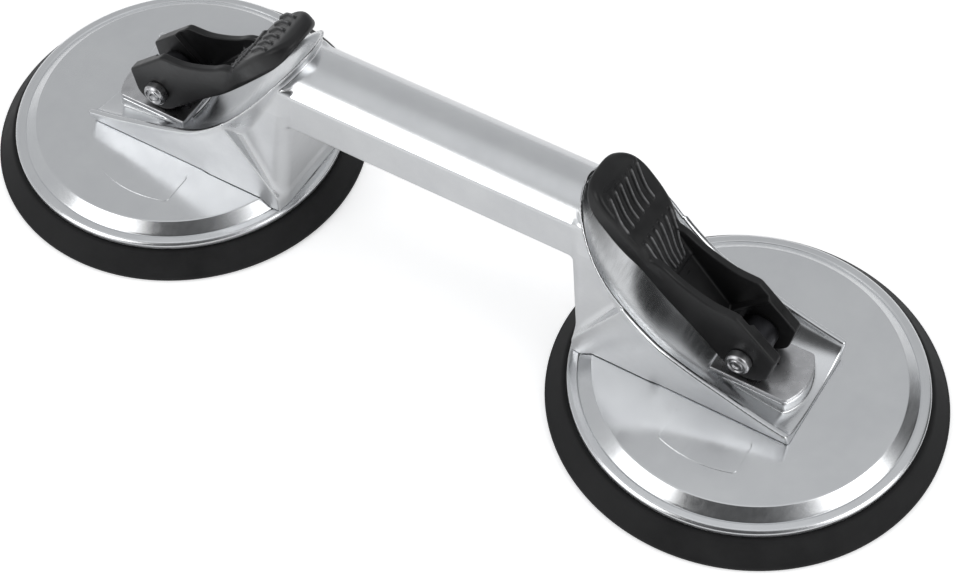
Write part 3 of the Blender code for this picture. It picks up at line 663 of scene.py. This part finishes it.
def membrane_sector(name, start, end):
    """A wedge of the membrane between two angles, closed all round."""
    radii = np.linspace(HUB_RADIUS, MEMBRANE_OUTER, MEMBRANE_RINGS)
    angles = np.linspace(start, end, MEMBRANE_RAYS)
    rows, columns = len(radii), len(angles)
    verts = []
    for top in (False, True):
        for r in radii:
            z = MEMBRANE_TOP if top else membrane_height(r)
            verts += [(r * math.cos(a), r * math.sin(a), z) for a in angles]
    count = rows * columns
    faces = []
    for i in range(rows - 1):
        for k in range(columns - 1):
            a, b = i * columns + k, (i + 1) * columns + k
            faces.append((a, a + 1, b + 1, b))
            faces.append((a + count, b + count, b + 1 + count, a + 1 + count))
    grid = np.arange(count).reshape(rows, columns)
    border = np.concatenate([grid[0], grid[1:, -1], grid[-1, -2::-1], grid[-2:0:-1, 0]]).tolist()
    for a, b in zip(border, border[1:] + border[:1]):
        faces.append((b, a, a + count, b + count))
    mesh = bpy.data.meshes.new(name)
    mesh.from_pydata(verts, [], faces)
    return outward(mesh)


def hub_mesh():
    """The pad's moving middle: a cup that holds the insert, with a button below."""
    floor = MEMBRANE_LOW + HUB_FLOOR
    button = MEMBRANE_LOW - HUB_BUTTON
    profile = [
        (0, button, 0), (6, button, 0.4), (7, MEMBRANE_LOW, 0.6),
        (HUB_RADIUS, MEMBRANE_LOW, 0), (HUB_RADIUS, MEMBRANE_TOP, 0),
        (INSERT_RADIUS, MEMBRANE_TOP, 0.4), (INSERT_RADIUS, floor, 0.3), (0, floor, 0),
    ]
    return revolve("rubber_hub", profile)


def plate_field(points):
    """The wear plate: the boss's plan with a hole for the stud."""
    x, y, z = points[..., 0], np.abs(points[..., 1]), points[..., 2]
    middle = (plate_low[2] + plate_high[2]) / 2
    plate = smooth_max(boss_plan(x, y), np.abs(z - middle) - (plate_high[2] - plate_low[2]) / 2, PLATE_ROUND)
    return smooth_max(plate, STUD_RADIUS + PLATE_PLAY - np.hypot(x, y), PLATE_HOLE_ROUND)


def plate_mesh():
    low = (BOSS_INNER - 1, -BOSS_HALF - 1, plate_low[2] - 1)
    high = (BOSS_END + 1, BOSS_HALF + 1, plate_high[2] + 1)
    return field_mesh("plate", plate_field, low, high, SMALL_STEP)


def stud_field(points):
    """A round shank that grows through a flat-sided lug into the eye for the pin."""
    x, y, z = np.abs(points[..., 0]), np.abs(points[..., 1]), points[..., 2]
    from_pin = np.hypot(x, z - PIN_HEIGHT)
    shank = smooth_max(np.hypot(x, y) - STUD_RADIUS, stud_low[2] - z, STUD_END_ROUND)
    shank = np.maximum(shank, z - PIN_HEIGHT)
    lug = smooth_max(x - LUG_HALF, y - EYE_HALF, EYE_ROUND)
    lug = smooth_max(lug, np.maximum(PLATE_TOP + LUG_LIFT - z, z - PIN_HEIGHT), EYE_ROUND)
    eye = smooth_max(from_pin - EYE_RADIUS, y - EYE_HALF, EYE_ROUND)
    body = smooth_min(smooth_min(shank, lug, EYE_ROUND), eye, EYE_FILLET)
    return smooth_max(body, PIN_RADIUS + CLEAR - from_pin, EYE_HOLE_ROUND)


def stud_mesh():
    reach = EYE_RADIUS + 1
    low = (-reach, -reach, stud_low[2] - 1)
    high = (reach, reach, stud_high[2] + 1)
    return field_mesh("stud", stud_field, low, high, SMALL_STEP)


def spring_mesh():
    """The return spring: a round wire wound up round the stud."""
    radius = (spring_high[1] - spring_low[1]) / 2 - SPRING_WIRE
    low, high = spring_low[2] + SPRING_WIRE, spring_high[2] - SPRING_WIRE
    share = np.linspace(0, 1, round(SPRING_TURNS * SPRING_STEPS))
    angles = share * SPRING_TURNS * 2 * np.pi
    path = np.stack([radius * np.cos(angles), radius * np.sin(angles), low + (high - low) * share], -1)
    return swept("return_coil", path, SPRING_WIRE)


def across(mesh):
    """Turns a mesh drawn about Z so that it lies along Y, its top facing -Y."""
    mesh.transform(Matrix.Rotation(math.pi / 2, 4, "X"))
    return mesh


def pin_mesh():
    """The pin, head up: a riveted head with a ring groove and a dimple."""
    face = PIN_HEAD
    back = CHEEK_OUTER + CLEAR
    chamfer = 0.5
    profile = [
        (0, face - 0.5, 0), (0.8, face - 0.45, 0.3), (1.3, face - 0.05, 0.2), (1.9, face - 0.05, 0.2),
        (2.1, face - 0.4, 0.15), (2.4, face - 0.4, 0.15), (2.6, face, 0.2), (3.2, face, 0.3),
        (PIN_HEAD_RADIUS, face - 0.7, 0.3), (PIN_HEAD_RADIUS, back, 0.15), (PIN_RADIUS, back, 0.1),
        (PIN_RADIUS, chamfer - PIN_TAIL, 0.3), (PIN_RADIUS - chamfer, -PIN_TAIL, 0.2), (0, -PIN_TAIL, 0),
    ]
    return across(revolve("hinge_pin", profile, FINE_SMALL))


def clip_mesh():
    """The ring that keeps the pin in, on the far cheek."""
    near = -CHEEK_OUTER - CLEAR
    far = near - CLIP_THICK
    bore = PIN_RADIUS + 0.1
    profile = [(bore, near, 0.1), (CLIP_RADIUS, near, 0.25), (CLIP_RADIUS, far, 0.25), (bore, far, 0.1)]
    return across(revolve("retaining_clip", profile, FINE_SMALL))


# ---------- lever ----------

def line_distance(s, t, start, end):
    """How far points lie to the left of the line from start to end."""
    ds, dt = end[0] - start[0], end[1] - start[1]
    return ((t - start[1]) * ds - (s - start[0]) * dt) / math.hypot(ds, dt)


def cheek_outline(s, t):
    """The lever's side view: cam heel, facet, flat top, falling crest and bowed underside."""
    angle = (CAM_TURN - np.arctan2(t, s)) % (2 * np.pi) - np.pi
    reach = PIN_HEIGHT - PLATE_TOP + DRAW_LIFT * (angle + np.pi / 2) / LEVER_SWING - CAM_GAP
    cam = np.where(angle < 0, np.hypot(s, t) - np.maximum(reach, HEEL_LEAST), WELL_INSIDE)
    share = np.clip((s + HEEL_FADE) / (2 * HEEL_FADE), 0, 1)
    lower = cam * (1 - share) + (smooth_line(CHEEK_LOW, s) - t) * share
    upper = smooth_max(line_distance(s, t, *HEEL[:2]), line_distance(s, t, *HEEL[1:]), HEEL_ROUND)
    upper = smooth_max(upper, (t - smooth_line(CHEEK_TOP, s)) * CHEEK_TOP_SCALE, HEEL_ROUND)
    outline = smooth_max(upper, lower, CHEEK_END_ROUND)
    return smooth_max(outline, s - CHEEK_TOP[-1][0], CHEEK_END_ROUND)


def rib_height(s, y):
    """Wavy grip ribs in two groups, each sinking into the face at its ends."""
    height = np.zeros_like(s)
    for middle, pitch, start, end in RIB_GROUPS:
        lane = (y - smooth_line(middle, s)) / smooth_line(pitch, s)
        number = np.clip(np.round(lane - 0.5), -RIB_COUNT / 2, RIB_COUNT / 2 - 1) + 0.5
        from_rib = (lane - number) * smooth_line(pitch, s) / RIB_HALF
        window = np.clip(np.minimum(s - start, end - s) / RIB_FADE + 0.5, 0, 1)
        height = height + window * np.maximum(1 - np.abs(from_rib), 0)
    return RIB_HEIGHT * height


def grip_face(s, y):
    """How high the thumb tab's face stands: slightly dished, with ribs."""
    return smooth_line(TAB_FACE, s) + rib_height(s, y) + TAB_DISH * (y / smooth_line(TAB_HALF, s)) ** 2


def tab_field(s, y, t, signed_y):
    """The thumb tab: a flat tongue with a rounded tip, ribbed on its face."""
    half = smooth_line(TAB_HALF, s)
    beyond = np.maximum(s - TIP_START, 0) / TIP_LENGTH
    plan = (beyond**TIP_POWER + (y / half) ** TIP_POWER) ** (1 / TIP_POWER)
    tab = smooth_max((plan - 1) * half, (t - grip_face(s, signed_y)) * TAB_FACE_SCALE, TAB_FACE_ROUND)
    tab = smooth_max(tab, smooth_line(TAB_BACK, s) - t, TAB_BACK_ROUND)
    return np.maximum(tab, TAB_START - s)


def lever_field(points):
    """Two cheeks joined by the channel's floor, open round the stud's eye, and the thumb tab."""
    s, t = points[..., 0], points[..., 2]
    y = np.abs(points[..., 1])
    cheek = smooth_max(cheek_outline(s, t), y - CHEEK_OUTER, CHEEK_ROUND)
    inner = np.interp(s, (PAD_END - PAD_STEP, PAD_END + PAD_STEP), (PAD_INNER, CHEEK_INNER))
    floor = np.interp(s, *np.array(CHANNEL_FLOOR).T)
    open_end = np.maximum(y - inner, s - CHANNEL_START)
    channel = smooth_max(y - inner, floor - t, CHANNEL_FLOOR_ROUND)
    channel = smooth_max(channel, s - CHANNEL_END, CHANNEL_END_ROUND)
    cheek = smooth_max(cheek, -smooth_min(channel, open_end, CHANNEL_JOIN), CHANNEL_EDGE_ROUND)
    lever = smooth_min(cheek, tab_field(s, y, t, points[..., 1]), TAB_FILLET)
    return smooth_max(lever, PIN_RADIUS + CLEAR - np.hypot(s, t), PIN_HOLE_ROUND)


def mark_crests(mesh, place):
    """Stores how near each point of the grip face is to a rib's crest, which the finish lightens as wear and
    painted highlight.
    """
    points = np.empty(len(mesh.vertices) * 3)
    mesh.vertices.foreach_get("co", points)
    turn, shift = np.array(place.to_3x3()), np.array(place.translation)
    s, y, t = ((points.reshape(-1, 3) - shift) @ turn).T
    crest = rib_height(s, y) / RIB_HEIGHT * (np.abs(t - grip_face(s, y)) < CREST_DEPTH)
    mesh.attributes.new("crest", "FLOAT", "POINT").data.foreach_set("value", crest)
    return mesh


def lever_mesh():
    """The lever in place on its pin: s leans inwards and up, t outwards and up."""
    root = math.sqrt(0.5)
    place = Matrix(((-root, 0, root, 0), (0, 1, 0, 0), (root, 0, root, PIN_HEIGHT), (0, 0, 0, 1)))
    low = (-13.5, -12, -11.5)
    high = (71, 12, 13.5)
    return mark_crests(field_mesh("cam_lever", lever_field, low, high, LEVER_STEP, place), place)


# ---------- finishes ----------

SILVER = (0.83, 0.84, 0.85)
SILVER_DULL = (0.76, 0.77, 0.785)
BLACK = (0, 0, 0)
MACHINED = (  # slot, material, colour, tarnished colour, lowest and highest roughness
    ("plated_steel", "plated_steel", (0.66, 0.66, 0.67), (0.50, 0.50, 0.51), 0.22, 0.36),
    ("spring_steel", "spring_wire", (0.36, 0.36, 0.38), (0.26, 0.26, 0.28), 0.28, 0.42),
    ("bush_bronze", "bush_bronze", (0.58, 0.38, 0.17), (0.42, 0.26, 0.12), 0.28, 0.42),
    ("black_steel", "black_steel", (0.05, 0.05, 0.055), (0.03, 0.03, 0.033), 0.30, 0.45),
)
# how far painted shade darkens the upright faces of the castings and cover
PAINTED_WALL_SHADE = 0.12
FLOOR_GLOW = 0.52
FLOOR_GLOW_MIRRORED = 0.2


class Finish:
    """A material with the shorthand to add nodes and join them."""

    def __init__(self, name, colour, roughness, metallic):
        self.material = bpy.data.materials.new(name)
        self.material.use_nodes = True
        self.tree = self.material.node_tree
        self.shader = self.tree.nodes["Principled BSDF"]
        self.shader.inputs["Base Color"].default_value = (*colour, 1)
        self.shader.inputs["Roughness"].default_value = roughness
        self.shader.inputs["Metallic"].default_value = metallic
        self.coords = self.tree.nodes.new("ShaderNodeTexCoord").outputs["Object"]

    def node(self, kind, inputs=(), **settings):
        node = self.tree.nodes.new("ShaderNode" + kind)
        for key, value in settings.items():
            setattr(node, key, value)
        for key, value in dict(inputs).items():
            if isinstance(value, bpy.types.NodeSocket):
                self.tree.links.new(value, node.inputs[key])
            else:
                node.inputs[key].default_value = value
        return node

    def noise(self, scale, detail=3, roughness=0.5, stretch=(1, 1, 1), turn=0):
        mapping = self.node("Mapping", {"Vector": self.coords, "Scale": stretch, "Rotation": (0, 0, turn)})
        noise = self.node("TexNoise", {"Vector": mapping.outputs[0], "Scale": scale, "Detail": detail,
                                       "Roughness": roughness})
        return noise.outputs["Fac"]

    def ranged(self, value, low, high, from_low=0.3, from_high=0.7):
        """A texture value spread over a range."""
        node = self.node("MapRange", {"Value": value, "From Min": from_low, "From Max": from_high,
                                      "To Min": low, "To Max": high})
        return node.outputs["Result"]

    def math(self, operation, a, b):
        return self.node("Math", {0: a, 1: b}, operation=operation).outputs[0]

    def colours(self, value, first, second):
        """A mix of two colours, each of them three numbers or a socket."""
        inputs = {"Factor": value}
        for key, colour in ((6, first), (7, second)):
            inputs[key] = colour if isinstance(colour, bpy.types.NodeSocket) else (*colour, 1)
        return self.node("Mix", inputs, data_type="RGBA").outputs[2]

    def feed(self, name, socket):
        self.tree.links.new(socket, self.shader.inputs[name])

    def bump(self, layers):
        """Height layers of (value, strength, depth in millimetres), one over another."""
        normal = None
        for value, strength, depth in layers:
            inputs = {"Height": value, "Strength": strength, "Distance": depth * MM}
            if normal is not None:
                inputs["Normal"] = normal
            normal = self.node("Bump", inputs).outputs["Normal"]
        self.feed("Normal", normal)


def polished(name, smooth, satin, wave):
    """Buffed aluminium with faint smears: mirror-like where level, satin and with painted shade where upright."""
    finish = Finish(name, SILVER, smooth, 1)
    smears = finish.noise(55, detail=4, roughness=0.6)
    fine = finish.noise(900, detail=2, stretch=(1, 0.08, 1), turn=0.4)
    pores = finish.noise(1500, roughness=0.6)
    waves = finish.noise(38, detail=2, roughness=0.4)
    normal = finish.node("NewGeometry").outputs["Normal"]
    facing = finish.node("SeparateXYZ", {0: normal}).outputs["Z"]
    upright = finish.ranged(finish.math("ABSOLUTE", facing, 0), 1, 0, from_low=0.12, from_high=0.5)
    buffed = finish.colours(finish.ranged(smears, 0, 1), SILVER_DULL, SILVER)
    # painted shade: upright faces mixed a little towards black
    shade = finish.math("MULTIPLY", upright, PAINTED_WALL_SHADE)
    finish.feed("Base Color", finish.colours(shade, buffed, BLACK))
    base = finish.math("ADD", finish.ranged(smears, 0.03, -0.02), finish.ranged(fine, -0.02, 0.03))
    walls = finish.math("MULTIPLY", upright, satin - smooth)
    finish.feed("Roughness", finish.math("ADD", finish.math("ADD", base, smooth), walls))
    grain = finish.math("MULTIPLY", pores, upright)
    finish.bump([(waves, wave, 0.5), (grain, 0.03, 0.05), (fine, 0.01, 0.05)])
    return finish.material


def rubber():
    """Matt black rubber with a faint bloom and fine specks."""
    finish = Finish("moulded_rubber", (0.010, 0.010, 0.0105), 0.6, 0)
    finish.shader.inputs["Specular IOR Level"].default_value = 0.18
    bloom = finish.noise(70, detail=5, roughness=0.65)
    specks = finish.noise(2400, detail=2, roughness=0.6)
    mottle = finish.noise(260)
    black = (0.012, 0.012, 0.0125)
    bloomed = (0.022, 0.022, 0.0225)
    finish.feed("Base Color", finish.colours(finish.ranged(bloom, 0, 1), black, bloomed))
    finish.feed("Roughness", finish.ranged(bloom, 0.5, 0.68))
    finish.bump([(specks, 0.12, 0.06), (mottle, 0.08, 0.15)])
    return finish.material


def plastic():
    """Black moulded plastic with a fine grain and handling scuffs; its rib crests lightened as wear and painted
    highlight.
    """
    finish = Finish("moulded_plastic", (0.011, 0.011, 0.0115), 0.34, 0)
    finish.shader.inputs["Specular IOR Level"].default_value = 0.30
    clouds = finish.noise(95, detail=4, roughness=0.6)
    grain = finish.noise(3200, detail=2)
    scuffs = finish.noise(620, roughness=0.6, stretch=(1, 0.12, 1), turn=0.7)
    crest = finish.node("Attribute", attribute_name="crest").outputs["Fac"]
    # rib crests lightened: part handling wear, part painted highlight
    crest_sheen_and_wear = finish.ranged(crest, 0, 1, from_low=0.45, from_high=0.85)
    sheen_wear_and_mottle = finish.math("MULTIPLY", crest_sheen_and_wear, finish.ranged(scuffs, 0.55, 1))
    sheen_wear_and_mottle = finish.math("ADD", sheen_wear_and_mottle, finish.ranged(clouds, 0, 0.035))
    black = (0.0125, 0.0125, 0.013)
    # the grey of the crests' wear and painted highlight
    sheen_and_wear_grey = (0.26, 0.26, 0.265)
    finish.feed("Base Color", finish.colours(sheen_wear_and_mottle, black, sheen_and_wear_grey))
    rough = finish.math("ADD", finish.ranged(clouds, 0.28, 0.40), finish.ranged(scuffs, -0.03, 0.05))
    finish.feed("Roughness", rough)
    finish.bump([(grain, 0.10, 0.05), (scuffs, 0.04, 0.05)])
    return finish.material


def machined(name, colour, dull, rough_low, rough_high):
    """Turned or drawn metal with fine lines round it and a little tarnish."""
    finish = Finish(name, colour, rough_low, 1)
    tarnish = finish.noise(240, detail=4, roughness=0.6)
    lines = finish.noise(5200, detail=1, stretch=(0.06, 0.06, 1))
    finish.feed("Base Color", finish.colours(finish.ranged(tarnish, 0, 1), dull, colour))
    finish.feed("Roughness", finish.ranged(tarnish, rough_high, rough_low))
    finish.bump([(lines, 0.08, 0.04)])
    return finish.material


def floor_finish():
    """A lit white table top, dimmer in the metal's reflections than to the eye."""
    finish = Finish("studio_floor", (0.93, 0.93, 0.93), 0.6, 0)
    finish.feed("Roughness", finish.ranged(finish.noise(12, detail=2), 0.55, 0.65))
    finish.shader.inputs["Specular IOR Level"].default_value = 0.1
    finish.shader.inputs["Emission Color"].default_value = (1, 1, 1, 1)
    mirrored = finish.node("LightPath").outputs["Is Glossy Ray"]
    glow = finish.ranged(mirrored, FLOOR_GLOW, FLOOR_GLOW_MIRRORED, from_low=0, from_high=1)
    finish.feed("Emission Strength", glow)
    return finish.material


def make_finishes():
    """The object's materials, by the name of their slot in the record."""
    finishes = {
        "cast_aluminium": polished("buffed_casting", smooth=0.19, satin=0.46, wave=0.08),
        "cover_aluminium": polished("buffed_cover", smooth=0.21, satin=0.30, wave=0.06),
        "black_rubber": rubber(),
        "black_plastic": plastic(),
    }
    for slot, name, colour, dull, rough_low, rough_high in MACHINED:
        finishes[slot] = machined(name, colour, dull, rough_low, rough_high)
    return finishes


FINISHES = make_finishes()


# ---------- assembly ----------

def show(name, mesh, slot, body, replaces=(), side=1, centred=True):
    """Places a mesh drawn in millimetres round its cup and lets it ride on a body, if one is given."""
    mesh = mesh.copy()
    turn = Matrix.Rotation(0 if side > 0 else math.pi, 4, "Z")
    shift = Matrix.Translation((side * CUP_X if centred else 0, 0, 0))
    mesh.transform(Matrix.Scale(MM, 4) @ shift @ turn)
    mesh.materials.clear()
    mesh.materials.append(FINISHES[slot])
    piece = bpy.data.objects.new(name, mesh)
    bpy.context.scene.collection.objects.link(piece)
    if replaces:
        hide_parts(*replaces)
    if body:
        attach(piece, body)
    return piece


def show_unturned(name, mesh, slot, body, place, replaces=()):
    """Places a mesh that faces the same way at both ends."""
    mesh = mesh.copy()
    mesh.transform(Matrix.Translation(place))
    return show(name, mesh, slot, body, replaces, centred=False)


def even_normals(piece):
    """Keeps flat faces flat where they meet small roundings."""
    modifier = piece.modifiers.new("even_normals", "WEIGHTED_NORMAL")
    modifier.keep_sharp = True
    modifier.weight = EVEN_WEIGHT


def show_membrane(label, side):
    """The pad's middle in wedges, each a closed piece of its own."""
    for number in range(MEMBRANE_WEDGES):
        start, end = (2 * math.pi * (number + k) / MEMBRANE_WEDGES for k in (0, 1))
        name = f"pad_membrane_{label}_{number + 1:02d}"
        piece = show(name, membrane_sector(name, start, end), "black_rubber", None, side=side)
        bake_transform(piece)


def show_spring(label, side, mesh):
    """The return spring, carried by the frame on a mesh of its own."""
    piece = show("return_coil_" + label, mesh, "spring_steel", "frame", ["return_spring_" + label], side)
    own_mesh(piece)


def show_end(label, side, meshes):
    """Every piece at one end of the lifter, each named for the end it is at."""
    draw = "draw_gear_" + label
    cam = "cam_lever_" + label
    for name, mesh, slot, body, node in (
        ("cover_shell_", "cover", "cover_aluminium", "frame", "cup_cover_"),
        ("pad_rim_", "rim", "black_rubber", "frame", "suction_pad_"),
        ("pad_centre_", "hub", "black_rubber", draw, "pad_hub_"),
    ):
        even_normals(show(name + label, meshes[mesh], slot, body, [node + label], side))
    show_membrane(label, side)
    show_spring(label, side, meshes["coil"])
    for name, mesh, slot, body, node in (
        ("cam_plate_", "plate", "plated_steel", "frame", "wear_plate_"),
        ("eye_stud_", "stud", "black_steel", draw, "draw_stud_"),
        ("cam_lever_", "lever", "black_plastic", cam, "lever_"),
    ):
        show(name + label, meshes[mesh], slot, body, [node + label], side)
    hinge = (side * CUP_X, 0, PIN_HEIGHT)
    for name, mesh, node in (("hinge_pin_", "pin", "pivot_pin_"), ("retaining_clip_", "clip", "pin_clip_")):
        even_normals(show_unturned(name + label, meshes[mesh], "plated_steel", draw, hinge, [node + label]))
    badge = (side * CUP_X + PANEL_SHIFT[label], 0, 0)
    show_unturned("blank_panel_" + label, meshes["panel"], "cover_aluminium", "frame", badge)


def dress_solids():
    """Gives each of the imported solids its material."""
    slots = {row["node"]: row["material_slot"] for row in frame["record"]["subparts"]}
    for name, node in frame["nodes"].items():
        node.data.materials.clear()
        node.data.materials.append(FINISHES[slots[name]])


def build_object():
    """The handle, then all that repeats at its two ends."""
    dress_solids()
    show("cast_handle", handle_mesh(), "cast_aluminium", "frame", ["handle_casting"], centred=False)
    meshes = {
        "cover": cover_mesh(),
        "rim": pad_rim_mesh(),
        "hub": hub_mesh(),
        "coil": spring_mesh(),
        "pin": pin_mesh(),
        "clip": clip_mesh(),
        "lever": lever_mesh(),
        "panel": panel_mesh(),
        "plate": plate_mesh(),
        "stud": stud_mesh(),
    }
    for label, side in SIDES.items():
        show_end(label, side, meshes)


# ---------- studio ----------

AZIMUTH = math.radians(32.2)
ELEVATION = math.radians(53.1)
ROLL = math.radians(-1.6)
TARGET = Vector((0.0124, -0.006, 0))
DISTANCE = 0.7116
SENSOR = 36
LENS = 86.9
DARK_ZONES = (  # azimuth and elevation, radius of the dark core and of its edge, share of light left
    ((-72, 46), 20, 42, 0.14),
    ((42, 5), 8, 27, 0.06),
)
SKY = ((0.0, 0.56), (0.6, 0.50), (0.8, 0.50), (1.0, 0.78))  # height, light
SKY_TINT = (0.985, 1, 1.02)
SOFTBOXES = (  # name, azimuth and elevation, width and height, power
    ("front_left", (-122, 37), (0.85, 1.35), 6.4),
    ("front_right", (6, 38), (0.80, 1.0), 5.0),
)
SOFTBOX_DISTANCE = 1.6
FLOOR_REACH = 6
FLOOR_DROP = 0.3


def around(azimuth, elevation):
    """The direction at an azimuth from +X and an elevation, in degrees."""
    a, e = math.radians(azimuth), math.radians(elevation)
    return (math.cos(a) * math.cos(e), math.sin(a) * math.cos(e), math.sin(e))


def place_camera():
    """The photograph's viewpoint: its azimuth is from -Y towards +X, and its roll leans the picture."""
    back = Vector((math.sin(AZIMUTH) * math.cos(ELEVATION), -math.cos(AZIMUTH) * math.cos(ELEVATION),
                   math.sin(ELEVATION)))
    right = Vector((math.cos(AZIMUTH), math.sin(AZIMUTH), 0))
    up = back.cross(right)
    rolled_right = math.cos(ROLL) * right + math.sin(ROLL) * up
    rolled_up = math.cos(ROLL) * up - math.sin(ROLL) * right
    place = Matrix((rolled_right, rolled_up, back)).transposed().to_4x4()
    place.translation = TARGET + back * DISTANCE
    camera = bpy.data.objects.new("camera", bpy.data.cameras.new("camera"))
    camera.data.sensor_width = SENSOR
    camera.data.lens = LENS
    camera.data.clip_start = 0.01
    camera.matrix_world = place
    bpy.context.scene.collection.objects.link(camera)
    bpy.context.scene.camera = camera


def softbox(name, direction, size, power):
    """A square soft light that faces the middle of the object and hides from the camera."""
    light = bpy.data.lights.new(name, "AREA")
    light.shape = "RECTANGLE"
    light.size, light.size_y = size
    light.energy = power
    obj = bpy.data.objects.new(name, light)
    away = Vector(direction).normalized()
    obj.location = away * SOFTBOX_DISTANCE
    obj.rotation_euler = away.to_track_quat("Z", "Y").to_euler()
    obj.visible_camera = False
    bpy.context.scene.collection.objects.link(obj)


def sky_light(tree, height):
    """A grey room that grows brighter overhead."""
    ramp = tree.nodes.new("ShaderNodeValToRGB")
    tree.links.new(height, ramp.inputs[0])
    while len(ramp.color_ramp.elements) < len(SKY):
        ramp.color_ramp.elements.new(0.5)
    for element, (place, value) in zip(ramp.color_ramp.elements, SKY):
        element.position = place
        element.color = (*(value * tint for tint in SKY_TINT), 1)
    return ramp.outputs["Color"]


def darkened(tree, colour, direction, towards, core, edge, left):
    """The room's light with a soft-edged dark place in one direction."""
    dot = tree.nodes.new("ShaderNodeVectorMath")
    dot.operation = "DOT_PRODUCT"
    tree.links.new(direction, dot.inputs[0])
    dot.inputs[1].default_value = around(*towards)
    shade = tree.nodes.new("ShaderNodeMapRange")
    shade.interpolation_type = "SMOOTHSTEP"
    tree.links.new(dot.outputs["Value"], shade.inputs["Value"])
    limits = {"From Min": math.cos(math.radians(edge)), "From Max": math.cos(math.radians(core)),
              "To Min": 1, "To Max": left}
    for key, number in limits.items():
        shade.inputs[key].default_value = number
    product = tree.nodes.new("ShaderNodeMix")
    product.data_type = "RGBA"
    product.blend_type = "MULTIPLY"
    product.inputs["Factor"].default_value = 1
    tree.links.new(colour, product.inputs[6])
    tree.links.new(shade.outputs["Result"], product.inputs[7])
    return product.outputs[2]


def studio_world():
    """The room round the object, with dark places for the metal to mirror."""
    world = bpy.data.worlds.new("studio")
    world.use_nodes = True
    tree = world.node_tree
    direction = tree.nodes.new("ShaderNodeTexCoord").outputs["Generated"]
    split = tree.nodes.new("ShaderNodeSeparateXYZ")
    tree.links.new(direction, split.inputs[0])
    colour = sky_light(tree, split.outputs["Z"])
    for zone in DARK_ZONES:
        colour = darkened(tree, colour, direction, *zone)
    tree.links.new(colour, tree.nodes["Background"].inputs["Color"])
    bpy.context.scene.world = world


def lay_floor():
    mesh = bpy.data.meshes.new("floor")
    corners = [(x * FLOOR_REACH, y * FLOOR_REACH, 0) for x, y in ((-1, -1), (1, -1), (1, 1), (-1, 1))]
    mesh.from_pydata(corners, [], [(0, 1, 2, 3)])
    mesh.materials.append(floor_finish())
    floor = bpy.data.objects.new("floor", mesh)
    floor.location.z = -FLOOR_DROP * MM
    bpy.context.scene.collection.objects.link(floor)


def build_studio():
    place_camera()
    studio_world()
    for name, towards, size, power in SOFTBOXES:
        softbox(name, around(*towards), size, power)
    lay_floor()
    bpy.context.scene.view_settings.view_transform = "Standard"


build_object()
build_studio()
